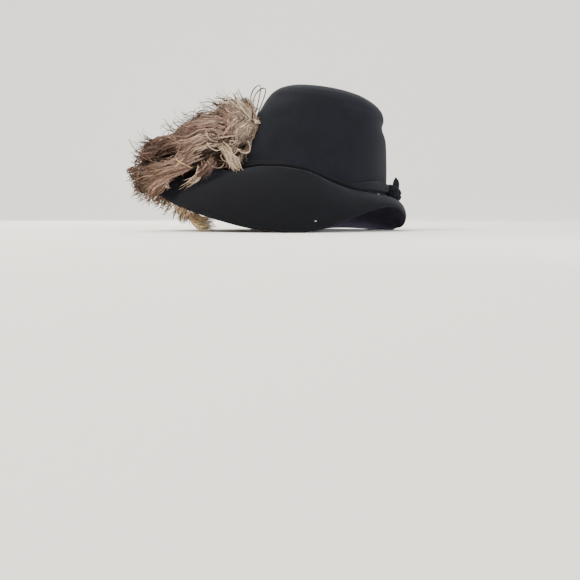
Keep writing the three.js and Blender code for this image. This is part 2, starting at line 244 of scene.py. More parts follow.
def crown_point(azimuth, up, share=1.0):
    """Points of the crown's outer face. share is 1 on the section's oval and 0 at its middle."""
    azimuth, up, share = grids(azimuth, up, share)
    shift, half, longer = read_line(CROWN_SECTIONS, up)
    half_width = half * CROWN_WIDTH / 2.0 / CROWN_SECTIONS[0][2]
    turn = np.radians(azimuth - FRONT_AZIMUTH)
    along = np.abs(np.cos(turn) / (half_width * longer)) ** OVAL_POWER
    across = np.abs(np.sin(turn) / half_width) ** OVAL_POWER
    radius = (along + across) ** (-1.0 / OVAL_POWER)
    for middle, height, wide, tall, depth in CROWN_DENTS:
        around = (np.mod(azimuth - middle + 540.0, 360.0) - 180.0) / wide
        radius = radius - depth * np.exp(-(around**2) - ((up - height) / tall) ** 2)
    # The blocked felt is never quite true, so slow waves run round it.
    turn = np.radians(azimuth)
    wave = np.sin(3 * turn + up / 17.0) + 0.7 * np.sin(5 * turn - up / 11.0 + 1.3)
    radius = share * (radius + CROWN_WAVES * wave * np.clip(up / 12.0, 0.0, 1.0))
    x = shift + radius * np.sin(turn)
    y = -radius * np.cos(turn)
    front = math.radians(FRONT_AZIMUTH)
    lengthwise = -x * math.sin(front) + y * math.cos(front) - TOP_DENT["back"]
    sideways = x * math.cos(front) + y * math.sin(front)
    far = np.minimum(np.hypot(lengthwise / TOP_DENT["length"], sideways / TOP_DENT["width"]), 1.0)
    sunk = TOP_DENT["depth"] * (0.5 + 0.5 * np.cos(math.pi * far))
    rise = read_round(SEAM_RISES, azimuth)[0] * np.clip(1.0 - np.maximum(up, 0.0) / 60.0, 0.0, 1.0)
    z = up + rise - sunk + TOP_SWELL * (1.0 - share**2)
    cos, sin = math.cos(CROWN_ROLL), math.sin(CROWN_ROLL)
    return np.stack([x * cos + z * sin, y, -x * sin + z * cos + SEAM_HEIGHT], axis=-1)


def brim_point(azimuth, share):
    """Points of the brim's upper face: share 0 at the seam, 1 at the rim."""
    azimuth, share = grids(azimuth, share)
    out = outward(azimuth)
    seam = crown_point(azimuth, 0.0) + GAP * out
    reach, height, belly = read_round(BRIM_RIM, azimuth)
    rim = out * reach[..., None]
    rim[..., 2] = height
    chord = rim - seam
    bulge = -chord[..., 2:3] * out
    bulge[..., 2] = np.hypot(chord[..., 0], chord[..., 1])
    middle = 0.5 * (seam + rim) + 2.0 * belly[..., None] * unit(bulge)
    s = share[..., None]
    point = seam * (1 - s) ** 2 + 2 * s * (1 - s) * middle + rim * s**2
    turn = np.radians(azimuth)
    wave = np.sin(4 * turn + 3.0 * share) + 0.8 * np.sin(7 * turn - 5.0 * share + 0.7)
    point[..., 2] += BRIM_WAVES * wave * np.clip(4.0 * share, 0.0, 1.0)
    # What would be under the surface is pressed flat on it, with a soft bend above.
    soft = 1.2
    point = point + out * (0.8 * np.maximum(FOOT - point[..., 2], 0.0))[..., None]
    point[..., 2] = FOOT + soft * np.logaddexp(0.0, (point[..., 2] - FOOT) / soft)
    return point


def linear(code):
    """An sRGB hex colour as the linear red, green, blue and alpha that shaders take."""
    shown = np.array([int(code[i : i + 2], 16) / 255.0 for i in (1, 3, 5)])
    light = np.where(shown <= 0.04045, shown / 12.92, ((shown + 0.055) / 1.055) ** 2.4)
    return (*(float(v) for v in light), 1.0)


def add_node(tree, kind, settings=(), links=()):
    """Adds a shader node. settings are its properties or input values, links its inputs from outputs."""
    node = tree.nodes.new(kind)
    for name, value in dict(settings).items():
        if name in node.inputs:
            node.inputs[name].default_value = value
        else:
            setattr(node, name, value)
    for name, source in dict(links).items():
        tree.links.new(source, node.inputs[name])
    return node


def material_once(name, build, *values):
    """The material of this name. The first time, build adds its nodes and gives its shader."""
    material = bpy.data.materials.get(name)
    if material is None:
        material = bpy.data.materials.new(name)
        material.use_nodes = True
        tree = material.node_tree
        tree.nodes.clear()
        output = tree.nodes.new("ShaderNodeOutputMaterial")
        tree.links.new(build(tree, *values).outputs["BSDF"], output.inputs["Surface"])
    return material


def per_millimetre(size):
    """Noise scale of a pattern whose grains are this many millimetres, on coordinates in metres."""
    return 1.0 / (size * MM)


def felt_shader(tree, dark, light, rough, shaded=False):
    """Fur felt, wet-blocked, dried and brushed: matt and almost black, with a short raised nap that catches
    a soft cool sheen at grazing angles, and faint cloudy patches where it was steamed and brushed."""
    patch_size = 26.0
    fibre_size = 1.1  # the fibres are finer, and are drawn this coarse so that they show
    noise = "ShaderNodeTexNoise"
    place = {"Vector": add_node(tree, "ShaderNodeTexCoord").outputs["Object"]}
    patches = add_node(tree, noise, {"Scale": per_millimetre(patch_size), "Detail": 3.0}, place)
    grain = {"Scale": per_millimetre(fibre_size), "Detail": 5.0, "Roughness": 0.68}
    fibres = add_node(tree, noise, grain, place).outputs["Fac"]
    blend = {"data_type": "FLOAT", "Factor": 0.72}
    blended = add_node(tree, "ShaderNodeMix", blend, {"A": patches.outputs["Fac"], "B": fibres})
    ramp = add_node(tree, "ShaderNodeValToRGB", {}, {"Fac": blended.outputs["Result"]})
    for stop, position, code in zip(ramp.color_ramp.elements, (0.36, 0.66), (dark, light)):
        stop.position = position
        stop.color = linear(code)
    nap = {"Strength": 0.35, "Distance": 0.25 * MM}
    bump = add_node(tree, "ShaderNodeBump", nap, {"Height": fibres})
    colour = ramp.outputs["Color"]
    # The meshes' tones multiply the colour: painted light under the brim, painted shade on the strap and
    # knot.
    if shaded:
        tone = add_node(tree, "ShaderNodeVertexColor", {"layer_name": "tone"})
        mix = add_node(tree, "ShaderNodeMix", {"data_type": "RGBA", "blend_type": "MULTIPLY"})
        mix.inputs[0].default_value = 1.0
        tree.links.new(colour, mix.inputs[6])
        tree.links.new(tone.outputs["Color"], mix.inputs[7])
        colour = mix.outputs[2]
    gloss = {
        "Roughness": rough,
        "Specular IOR Level": 0.12,
        "Sheen Weight": 0.07,
        "Sheen Roughness": 0.5,
        "Sheen Tint": linear("#AEB6C8"),
    }
    inputs = {"Base Color": colour, "Normal": bump.outputs["Normal"]}
    return add_node(tree, "ShaderNodeBsdfPrincipled", gloss, inputs)


def barb_shader(tree, rough):
    """Ostrich barbs, washed, dyed and curled over a blade: a soft fibre whose loose barbules scatter light,
    so it has little gloss and a pale sheen. The colour of each barb comes with its mesh."""
    barbule_size = 0.9  # barbules are finer, and are drawn this coarse so that they show
    tone = add_node(tree, "ShaderNodeVertexColor", {"layer_name": "tone"})
    place = {"Vector": add_node(tree, "ShaderNodeTexCoord").outputs["Object"]}
    grain = {"Scale": per_millimetre(barbule_size), "Detail": 2.0}
    barbules = add_node(tree, "ShaderNodeTexNoise", grain, place)
    span = {"From Min": 0.3, "From Max": 0.7, "To Min": 0.74, "To Max": 1.16}
    shade = add_node(tree, "ShaderNodeMapRange", span, {"Value": barbules.outputs["Fac"]})
    mix = add_node(tree, "ShaderNodeMix", {"data_type": "RGBA", "blend_type": "MULTIPLY"})
    mix.inputs[0].default_value = 1.0
    tree.links.new(tone.outputs["Color"], mix.inputs[6])
    tree.links.new(shade.outputs["Result"], mix.inputs[7])
    gloss = {
        "Roughness": rough,
        "Specular IOR Level": 0.2,
        "Sheen Weight": 0.06,
        "Sheen Roughness": 0.4,
        "Sheen Tint": linear("#EFE3D0"),
    }
    return add_node(tree, "ShaderNodeBsdfPrincipled", gloss, {"Base Color": mix.outputs[2]})


def plain_shader(tree, colour, rough, grain, depth):
    """One colour with a fine grain of bumps. grain and depth are their size and height in millimetres."""
    place = {"Vector": add_node(tree, "ShaderNodeTexCoord").outputs["Object"]}
    size = {"Scale": per_millimetre(grain), "Detail": 3.0}
    grains = add_node(tree, "ShaderNodeTexNoise", size, place)
    relief = {"Strength": 0.2, "Distance": depth * MM}
    bump = add_node(tree, "ShaderNodeBump", relief, {"Height": grains.outputs["Fac"]})
    gloss = {"Base Color": linear(colour), "Roughness": rough}
    return add_node(tree, "ShaderNodeBsdfPrincipled", gloss, {"Normal": bump.outputs["Normal"]})


def make_mesh(name, points, faces, tones=None):
    """An object with one mesh of closed surfaces, turned to face out. points are millimetres from the
    crown's centre, and faces are blocks with the same number of corners in each row."""
    points = (np.asarray(points, dtype=float).reshape(-1, 3) + CROWN_CENTRE) * MM
    a, b, c, d = (points[faces[0][:, k]] for k in range(4))
    if np.sum(np.cross(a, b) * c) + np.sum(np.cross(a, c) * d) < 0.0:
        faces = [block[:, ::-1] for block in faces]
    corners = np.concatenate([block.ravel() for block in faces]).astype(np.int32)
    sizes = np.concatenate([np.full(len(block), block.shape[1]) for block in faces])
    starts = np.concatenate([[0], np.cumsum(sizes)[:-1]]).astype(np.int32)
    mesh = bpy.data.meshes.new(name)
    mesh.vertices.add(len(points))
    mesh.vertices.foreach_set("co", points.astype(np.float32).ravel())
    mesh.loops.add(len(corners))
    mesh.loops.foreach_set("vertex_index", corners)
    mesh.polygons.add(len(sizes))
    mesh.polygons.foreach_set("loop_start", starts)
    mesh.update(calc_edges=True)
    if mesh.validate():
        raise RuntimeError(name + " has faces that aren't sound")
    mesh.shade_smooth()
    if tones is not None:
        layer = mesh.color_attributes.new(name="tone", type="FLOAT_COLOR", domain="POINT")
        values = np.ones((len(points), 4), dtype=np.float32)
        values[:, :3] = tones.reshape(-1, 3)
        layer.data.foreach_set("color", values.ravel())
    made = bpy.data.objects.new(name, mesh)
    bpy.context.scene.collection.objects.link(made)
    return made


def add_piece(name, shape, material, node):
    """Adds a piece from its points, faces and colours, with its material, its body and the node
    that it stands for."""
    made = make_mesh(name, *shape)
    made.data.materials.append(material)
    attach(made, "root")
    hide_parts(node)


def ring_faces(columns, rows, closed_rows):
    """Faces of a grid that closes on itself along its columns, and along its rows when asked."""
    i, j = np.meshgrid(np.arange(columns), np.arange(rows if closed_rows else rows - 1), indexing="ij")
    k = (i + 1) % columns
    m = (j + 1) % rows
    return np.stack([i * rows + j, k * rows + j, k * rows + m, i * rows + m], axis=-1).reshape(-1, 4)


def swept_faces(steps, around):
    """Faces of a strip swept through its steps, with this many points around, and its two caps."""
    s, k = np.meshgrid(np.arange(steps - 1), np.arange(around), indexing="ij")
    n = (k + 1) % around
    walls = np.stack([s * around + k, s * around + n, (s + 1) * around + n, (s + 1) * around + k], axis=-1)
    caps = np.stack([np.arange(around)[::-1], (steps - 1) * around + np.arange(around)])
    return walls.reshape(-1, 4), caps


def grid_caps(columns, rows):
    """The two faces that close a grid of rings at its first and last row."""
    i = np.arange(columns)
    return np.stack([i[::-1] * rows, i * rows + rows - 1])


def grid_normals(grid):
    """Unit normals of a grid of points whose first axis goes round and closes."""
    around = np.roll(grid, -1, axis=0) - np.roll(grid, 1, axis=0)
    return unit(np.cross(around, np.gradient(grid, axis=1)))


def tubes(lines, widths, tones, sides=3, flat=0.55, seed=5):
    """Closed tapered tubes along lines (count, steps, 3). flat is how thick they are for their width.
    Gives points, blocks of faces and the colours of the points."""
    count, steps = lines.shape[:2]
    rng = np.random.default_rng(seed)
    side, up = crossways(lines, unit(rng.normal(size=(count, 1, 3))))
    angles = round_angles(sides)
    reach = widths[..., None, None]
    ring = side[..., None, :] * np.cos(angles)[:, None]
    ring = ring + up[..., None, :] * (flat * np.sin(angles))[:, None]
    points = lines[..., None, :] + reach * ring
    base = np.arange(count) * steps * sides
    walls, caps = swept_faces(steps, sides)
    walls = (base[:, None, None] + walls).reshape(-1, 4)
    caps = np.concatenate([base[:, None] + cap for cap in caps])
    colours = np.repeat(tones[:, :, None, :], sides, axis=2)
    return points.reshape(-1, 3), [walls, caps], colours.reshape(-1, 3)


def crown_mesh():
    """The crown's wall: outer face, rounded foot inside the brim, and the face within."""
    around = 192
    shoulder = 84.0  # height from which the crown turns in, in closer rows
    crest = CROWN_SECTIONS[-1][0]
    azimuth = np.linspace(0.0, 360.0, around, endpoint=False)[:, None]
    side = np.concatenate([np.linspace(-FELT, shoulder, 44), np.linspace(shoulder + 1.5, crest, 24)])
    top = np.linspace(1.0, 0.0, 14)[1:-1]
    rings = [crown_point(azimuth, side[None]), crown_point(azimuth, crest, top[None])]
    outer = np.concatenate(rings, axis=1)
    pole = crown_point(0.0, crest, 0.0)
    normals = grid_normals(outer)
    inner = outer - FELT * normals
    grid = np.concatenate([outer[:, ::-1], inner], axis=1)
    columns, rows = grid.shape[:2]
    points = np.concatenate([grid.reshape(-1, 3), [pole, pole - [0.0, 0.0, FELT]]])
    i = np.arange(columns)
    k = (i + 1) % columns
    tip = np.full(columns, columns * rows)
    start = np.stack([tip, k * rows, i * rows], axis=-1)
    end = np.stack([tip + 1, i * rows + rows - 1, k * rows + rows - 1], axis=-1)
    return points, [ring_faces(columns, rows, False), np.concatenate([start, end])]


def brim_mesh(edge_line, edge_depth):
    """The brim's wall as one closed ring: upper face, rounded rim, under face. A shallow line runs round
    both faces at edge_line from the rim."""
    around = 288
    line_width = 0.45
    thinning = 1.7  # how far each face draws in at the rim
    azimuth = np.linspace(0.0, 360.0, around, endpoint=False)[:, None]
    # Distances of the rows near the rim, close together where the line runs.
    fine = np.array([0.0, 0.5, 1.0, 1.6, 2.2, 2.6, 2.9, 3.2, 3.6, 4.2, 5.0, 6.2, 8.0])
    seam = crown_point(azimuth, 0.0)
    reach = read_round(BRIM_RIM, azimuth)[0]
    width = reach - np.hypot(seam[..., 0], seam[..., 1])
    near = 1.0 - (0.5 * FELT + fine[None]) / width
    rest = near[:, -1:] * np.linspace(1.0, 0.0, 30)[None, 1:]
    share = np.concatenate([near, rest], axis=1)
    upper = brim_point(azimuth, share)
    normals = grid_normals(upper)
    from_rim = (1.0 - share) * width
    line = edge_depth * np.exp(-(((from_rim - edge_line) / line_width) ** 2))[..., None]
    roll = thinning * np.clip(1.0 - from_rim / edge_line, 0.0, 1.0)[..., None] ** 1.6
    lower = upper - (FELT + roll - line) * normals
    upper = upper - (line + roll) * normals
    middle = 0.5 * (upper[:, :1] + lower[:, :1])
    half = 0.5 * (upper[:, :1] - lower[:, :1])
    beyond = unit(middle - 0.5 * (upper[:, 2:3] + lower[:, 2:3])) * 0.5 * FELT
    bend = np.linspace(0.0, math.pi, 9)[1:-1][None, :, None]
    edge = middle + half * np.cos(bend) + beyond * np.sin(bend)
    grid = np.concatenate([upper[:, ::-1], edge, lower], axis=1)
    grid[..., 2] = np.maximum(grid[..., 2], 0.0)
    columns, rows = grid.shape[:2]
    # The under face is painted lighter than the upper one: painted light.
    tones = np.ones(grid.shape)
    tones[:, -lower.shape[1] :] = UNDER_FACE_PAINTED_LIGHT
    return grid.reshape(-1, 3), [ring_faces(columns, rows, True)], tones


def strap_mesh(thickness):
    """The strap: a rounded strip of felt round the crown's foot. Where it is wide, on the right, it is drawn
    into long soft pleats, and its edges wander a little."""
    steps = 420
    around = 22
    azimuth = np.linspace(BAND_START, BAND_END, steps)[:, None]
    height, stand, lift = read_round(BAND_SECTIONS, azimuth)
    turn = round_angles(around)[None]
    high, off = squarer(np.cos(turn), 0.55), squarer(np.sin(turn), 0.55)
    wide = np.clip((height - 4.5) / 5.0, 0.0, 1.0)
    drawn_in = np.exp(-((np.minimum(azimuth - BAND_START, BAND_END - azimuth) / 10.0) ** 2))
    height = height * (1.0 - 0.3 * drawn_in)
    angle = np.radians(azimuth)
    pleat = 0.75 * wide * np.cos(3.4 * math.pi * high + 2.0 * np.sin(2.3 * angle)) * np.maximum(off, 0.0)
    wander = 0.3 * np.sin(9.0 * angle) + 0.22 * np.sin(17.0 * angle + 1.0)
    up = lift + 0.5 * height * (1.0 + high) + wander * (0.4 + 0.6 * wide)
    out = stand + 0.5 * thickness * (1.0 + off) + 0.3 * thickness * (1.0 - high**2) * (off > 0) + pleat
    points = crown_point(azimuth, up) + outward(azimuth) * np.maximum(out, 0.45)[..., None]
    # Painted shade: the narrow strap down in the groove and its ends drawn into the knot are darker.
    tone = (0.3 + 0.7 * wide) * (1.0 - 0.6 * drawn_in)
    tones = np.repeat(tone[..., None] * np.ones(3), around, axis=1)
    return points.reshape(-1, 3), list(swept_faces(steps, around)), tones


KNOT = {"x": 96.0, "y": -5.0, "z": 45.0, "half_x": 10.6, "half_y": 11.5, "half_z": 9.6, "slope": -0.3}
FOLD_DEPTH = 0.17  # of the knot's folds, as a share of its size
# Columns: share of the leaf's length, middle x, y, z, half width, half thickness.
LEAF = (
    (0.0, 98.0, 7.6, 44.0, 4.0, 1.4),
    (0.25, 99.4, 9.6, 49.5, 5.6, 1.3),
    (0.5, 100.4, 11.2, 54.0, 6.0, 1.2),
    (0.8, 101.0, 12.0, 60.5, 4.6, 0.9),
    (1.0, 101.0, 12.0, 64.5, 1.0, 0.4),
)


def knot_mesh(folds):
    """The knot: the strap wrapped over itself, drawn tight at its top and foot, so that its felt stands in
    upright rounded folds with sharp creases between them."""
    around = 150
    levels = 64
    turn = round_angles(around)[:, None]
    rise = np.linspace(0.02 * math.pi, 0.98 * math.pi, levels)[None]
    level = -np.cos(rise)
    flat = np.sin(rise) ** 0.8
    phase = 0.5 * folds * (turn + 0.28 * level + 0.09 * np.sin(2.0 * turn))
    crease = np.abs(np.cos(phase)) ** 0.55
    waist = 1.0 - 0.10 * np.exp(-((level / 0.16) ** 2))
    swell = (1.0 - FOLD_DEPTH + FOLD_DEPTH * crease * np.sqrt(flat)) * waist
    x = KNOT["x"] + KNOT["half_x"] * flat * swell * np.sin(turn)
    y = KNOT["y"] - KNOT["half_y"] * flat * swell * np.cos(turn)
    z = KNOT["z"] + KNOT["half_z"] * (level + 0.05 * crease * flat)
    z = z + KNOT["slope"] * (x - KNOT["x"])
    grid = np.stack([x, y, z], axis=-1)
    columns, rows = grid.shape[:2]
    # The creases between the folds are painted darker: painted shade.
    tones = (0.3 + 0.7 * crease)[..., None] * np.ones(3)
    return grid.reshape(-1, 3), [ring_faces(columns, rows, False), grid_caps(columns, rows)], tones


def leaf_mesh():
    """The strap's cut end: a pointed leaf of felt, cupped a little along its middle."""
    steps, around = 40, 20
    share = np.linspace(0.0, 1.0, steps)
    x, y, z, wide, thick = read_line(LEAF, share)
    middle = np.stack([x, y, z], axis=-1)
    along = unit(np.gradient(middle, axis=0))
    face = unit(np.cross(np.array([0.75, 0.66, 0.0]), along))
    side = unit(np.cross(along, face))
    turn = round_angles(around)[None]
    sideways = squarer(np.sin(turn), 0.8)
    cup = 0.9 * sideways**2
    points = middle[:, None] + side[:, None] * (wide[:, None] * sideways)[..., None]
    rise = thick[:, None] * np.cos(turn) + cup * wide[:, None] / 4.7
    points = points + face[:, None] * rise[..., None]
    return points.reshape(-1, 3), list(swept_faces(steps, around)), np.full(points.shape, 0.6)


# Colours of the plume, from its cream root to its dark tips.
CREAM, STRAW, TAUPE, BROWN, SAND, GOLD_AND_BACKLIGHT, TIP = (
    np.array(linear(code)[:3])
    for code in ("#C8B599", "#A8927E", "#775F52", "#47342D", "#7C6451", "#F2CCA0", "#35271F")
)

BODY_SEED, LOCKS_SEED, LINT_SEED, ENDS_SEED = 11, 21, 31, 41

BODY_PER = 14  # barbs in a clump of the plume's body
# Columns: name, clumps as a share of the number in the panel, and the shares of the plume's length between
# which they start. The two parts overlap.
BODY_PARTS = (("plume_over_brim", 0.62, 0.0, 0.42), ("plume_round_rim", 0.7, 0.36, 0.9))
STEPS = 10  # points along a barb
ALONG = np.linspace(0.0, 1.0, STEPS)  # their places, from root to tip
PLUME_UNDER = 0.62  # share of the plume's length from which it lies under the brim
STEM_UNDER = 0.8  # the same of its stem
PLUME_REACH = -220.0  # how far left barbs may reach
MOST_MOVED_IN = 9.0  # barbs that reach farther past that are left out
BARBS_A_PIECE = 1900
OFF_SURFACE = 0.8  # least height of a barb's middle line
FELT_REACH = 240  # all felt is within this many millimetres of the crown's centre
FELT_TOP = 200  # and below this height
FOOT_ROOM = 12.0  # barbs this far below the seam and lower are clear of the crown
STRAY_HEIGHT = 62.0  # strays whose tips are lower are left out
LONGEST_STEP = 3.0  # of a barb in the fringe, between two of its points


# Locks of barbs that lie together. Columns: name, start, bend and end of the middle line, radius at both
# ends, number of barbs, curl of their tips in radians, colours of root and end, share of barbs with dark
# tips, barbs in a clump.
LOCKS = (
    ("top fan", (-72, -45, 119), (-86, -50, 138), (-108, -53, 148), 8, 12, 70, 0.7, CREAM, STRAW, 0.9, 1),
    ("top strays", (-76, -46, 127), (-98, -50, 144), (-126, -53, 145), 6, 12, 40, 0.9, STRAW, BROWN, 1.0, 1),
    ("crown fan", (-70, -42, 121), (-77, -44, 139), (-86, -44, 153), 6, 10, 60, 0.6, CREAM, STRAW, 0.8, 1),
    ("crown wisps", (-73, -44, 131), (-79, -44, 147), (-86, -44, 160), 5, 9, 16, 0.9, STRAW, BROWN, 0.9, 1),
    ("crest", (-82, -58, 121), (-98, -61, 132), (-118, -59, 133), 7, 8, 110, 0.8, STRAW, TAUPE, 0.5, 4),
    ("root", (-68, -48, 126), (-81, -62, 117), (-92, -69, 97), 8, 8, 150, 0.15, CREAM, STRAW, 0.05, 4),
    ("root, in", (-77, -54, 134), (-93, -65, 121), (-103, -69, 98), 9, 8, 150, 0.15, STRAW, TAUPE, 0.05, 4),
    ("right edge", (-68, -44, 125), (-68, -50, 111), (-81, -56, 96), 5, 5, 70, 0.3, STRAW, STRAW, 0.1, 4),
    ("sweep", (-94, -62, 118), (-123, -65, 119), (-161, -58, 105), 10, 10, 250, 0.5, STRAW, TAUPE, 0.15, 8),
    ("on crest", (-97, -56, 127), (-121, -56, 125), (-154, -48, 112), 5, 6, 120, 0.7, TAUPE, BROWN, 0.6, 4),
    ("middle", (-103, -66, 107), (-133, -69, 102), (-171, -57, 79), 12, 12, 300, 0.6, STRAW, TAUPE, 0.15, 8),
    ("brown", (-104, -69, 116), (-130, -71, 112), (-160, -63, 94), 6, 8, 110, 0.6, TAUPE, BROWN, 0.1, 5),
    ("left tuft", (-143, -50, 109), (-172, -46, 102), (-212, -30, 86), 8, 8, 250, 0.8, TAUPE, BROWN, 0.8, 5),
    ("left curl", (-162, -46, 106), (-186, -42, 100), (-218, -25, 86), 4, 6, 90, 1.0, TAUPE, BROWN, 0.9, 2),
    ("below tuft", (-173, -46, 97), (-190, -42, 92), (-214, -28, 77), 5, 8, 100, 0.7, BROWN, TAUPE, 0.6, 4),
    ("upper band", (-125, -67, 91), (-163, -59, 77), (-217, -36, 68), 8, 10, 270, 0.4, STRAW, TAUPE, 0.6, 6),
    ("lower band", (-136, -66, 76), (-171, -57, 64), (-214, -36, 56), 6, 10, 230, 0.5, TAUPE, SAND, 0.6, 6),
    ("end tips", (-199, -36, 68), (-208, -33, 62), (-218, -28, 56), 13, 18, 80, 0.5, TAUPE, BROWN, 1.0, 1),
    ("tip band", (-152, -62, 67), (-177, -60, 53), (-202, -44, 32), 5, 8, 200, 0.6, TAUPE, SAND, 0.8, 6),
    ("pale tuft", (-108, -69, 103), (-98, -75, 88), (-84, -80, 62), 6, 4.5, 48, 0.3, STRAW, CREAM, 0.0, 1),
    ("long drop", (-131, -69, 82), (-132, -71, 62), (-163, -66, 44), 4, 3.5, 14, 0.2, STRAW, STRAW, 0.0, 1),
    ("drop", (-166, -63, 63), (-169, -65, 53), (-164, -64, 46), 2.5, 1.5, 6, 0.2, STRAW, STRAW, 0.0, 1),
    ("over curl", (-110, -70, 84), (-122, -74, 70), (-136, -73, 58), 7, 4, 90, 0.5, TAUPE, BROWN, 0.2, 4),
    ("hanging", (-117, -70, 91), (-118, -73, 78), (-120, -73, 65), 9, 9, 8, 0.2, TAUPE, BROWN, 0.2, 1),
    ("pale cross", (-80, -68, 104), (-92, -75, 93), (-103, -78, 82), 6, 6, 9, 0.8, CREAM, STRAW, 0.0, 1),
    ("crown shade", (-70, -26, 80), (-96, -26, 75), (-134, -20, 68), 5, 6, 200, 0.3, TIP, TIP, 0.0, 8),
    ("pale tip", (-74, -52, 127), (-67, -58, 125), (-60, -60, 123), 3, 1.2, 18, 0.4, CREAM, CREAM, 0.0, 3),
)

LOCKS_BEHIND = (
    ("round, near", (-180, -24, 86), (-201, -24, 64), (-192, -22, 44), 8, 8, 220, 0.5, TAUPE, SAND, 0.6, 6),
    ("round, middle", (-182, -8, 90), (-205, -8, 66), (-196, -6, 42), 8, 8, 260, 0.5, TAUPE, SAND, 0.6, 6),
    ("round, far", (-180, 10, 84), (-198, 12, 62), (-190, 12, 42), 8, 8, 240, 0.5, TAUPE, SAND, 0.6, 6),
    ("left end", (-158, -6, 98), (-190, -2, 90), (-208, 0, 66), 12, 14, 300, 0.6, TAUPE, BROWN, 0.6, 6),
    ("far fan", (-75, -10, 112), (-98, 2, 126), (-130, 8, 121), 12, 12, 200, 0.9, CREAM, TAUPE, 0.5, 12),
    ("far sweep", (-90, 4, 108), (-128, 18, 112), (-170, 20, 96), 12, 12, 240, 0.7, STRAW, TAUPE, 0.2, 12),
    ("far band", (-112, 14, 88), (-148, 24, 76), (-190, 20, 60), 10, 12, 240, 0.7, TAUPE, BROWN, 0.4, 12),
    ("far root", (-66, -14, 118), (-84, 4, 104), (-106, 14, 84), 9, 10, 150, 0.7, CREAM, STRAW, 0.1, 12),
    ("top", (-86, -24, 130), (-124, -22, 123), (-168, -14, 103), 12, 11, 240, 0.7, STRAW, TAUPE, 0.4, 12),
    ("loose top", (-90, -20, 131), (-126, -14, 126), (-170, -6, 106), 11, 14, 80, 1.2, TAUPE, BROWN, 0.9, 1),
    # The locks below that are coloured like the dark tips from root to end are painted shade: dark barbs in
    # the plume's shadow.
    ("window shade", (-78, -22, 79), (-134, -14, 70), (-204, -4, 58), 8, 9, 400, 0.3, TIP, TIP, 0.0, 8),
    ("inside end", (-164, -22, 72), (-190, -20, 64), (-209, -16, 56), 10, 11, 220, 0.5, BROWN, TIP, 0.0, 8),
    ("hollow shade", (-138, -4, 96), (-170, -6, 88), (-206, -2, 74), 12, 12, 260, 0.6, TIP, TIP, 0.0, 8),
)


class Gap(NamedTuple):
    """An oval gap of the plume, as it is seen from the near side: its middle, half sizes and tilt."""

    x: float
    z: float
    half_x: float
    half_z: float
    tilt: float


# Shaded hollows: a large one above the lower band, a slit by the left end and a small one by the crown.
HOLLOWS = (
    Gap(-171.0, 86.5, 15.0, 7.6, 24.0),
    Gap(-196.0, 77.5, 11.0, 2.8, 10.0),
    Gap(-83.0, 96.5, 6.5, 3.8, 20.0),
)
HOLLOW_DEPTH = 26.0  # how far their floor lies behind the plume's near face
CROSS_EVERY = 9  # one barb in so many crosses a hollow
WINDOW = Gap(-153.5, 58.0, 13.5, 6.6, 24.0)  # the brim shows through it
GAP_CROSSERS = ("long drop", "drop", "crown shade", "window shade")
GAP_PLANE = -60.0  # the gaps are measured on this y, the plume's near face
CAMERA_LEFT = 28.5  # the camera's place: left of the crown's centre, before it and above the surface
CAMERA_AWAY = 1064.0
CAMERA_HEIGHT = 20.0


def barbules(lines, tones, per, seed):
    """Fine spikes that stand off barbs, as the loose barbules of an ostrich feather do. Each is a closed
    body with three sides and a point."""
    rng = np.random.default_rng(seed)
    count, steps = lines.shape[:2]
    owner = np.repeat(np.arange(count), per)
    place = rng.uniform(0.12, 0.97, len(owner)) * (steps - 1)
    i = np.clip(np.floor(place).astype(int), 0, steps - 2)
    t = (place - i)[:, None]
    root = lines[owner, i] * (1.0 - t) + lines[owner, i + 1] * t
    along = unit(lines[owner, i + 1] - lines[owner, i])
    side = unit(np.cross(along, rng.normal(size=root.shape)))
    lean = unit(side + rng.uniform(0.5, 1.3, (len(owner), 1)) * along)
    taper = 1.0 - 0.55 * place[:, None] / steps
    long = rng.uniform(1.0, 2.6, (len(owner), 1)) * taper
    over = np.cross(side, along)
    half = 0.085 * taper
    corners = [root + half * along, root - 0.5 * half * along + 0.87 * half * over]
    corners += [root - 0.5 * half * along - 0.87 * half * over, root + long * lean]
    points = np.stack(corners, axis=1).reshape(-1, 3)
    points[:, 2] = np.maximum(points[:, 2], 0.1)
    base = 4 * np.arange(len(owner))[:, None, None]
    faces = base + np.array([[0, 1, 2], [0, 3, 1], [1, 3, 2], [2, 3, 0]])
    tone = tones[owner, i] * rng.uniform(0.95, 1.35, (len(owner), 1))
    return points, faces.reshape(-1, 3), np.repeat(np.clip(tone, 0.0, 0.9), 4, axis=0)


def felt_heights():
    """Height of the brim's upper face at each whole degree and each whole millimetre from the centre, and
    how far out the crown's face is at each degree and each millimetre of height."""
    degrees = 360
    azimuth = np.arange(degrees)[:, None]
    brim = brim_point(azimuth, np.linspace(0.0, 1.0, 60)[None])
    away = np.hypot(brim[..., 0], brim[..., 1])
    places = np.arange(FELT_REACH)
    heights = [np.interp(places, away[i], brim[i, :, 2], right=np.nan) for i in range(degrees)]
    crown = crown_point(azimuth, np.linspace(0.0, CROWN_SECTIONS[-1][0], 70)[None])
    reach = np.hypot(crown[..., 0], crown[..., 1])
    levels = np.arange(FELT_TOP)
    sides = [np.interp(levels, crown[i, :, 2], reach[i], right=0.0) for i in range(degrees)]
    return np.stack(heights), np.stack(sides)


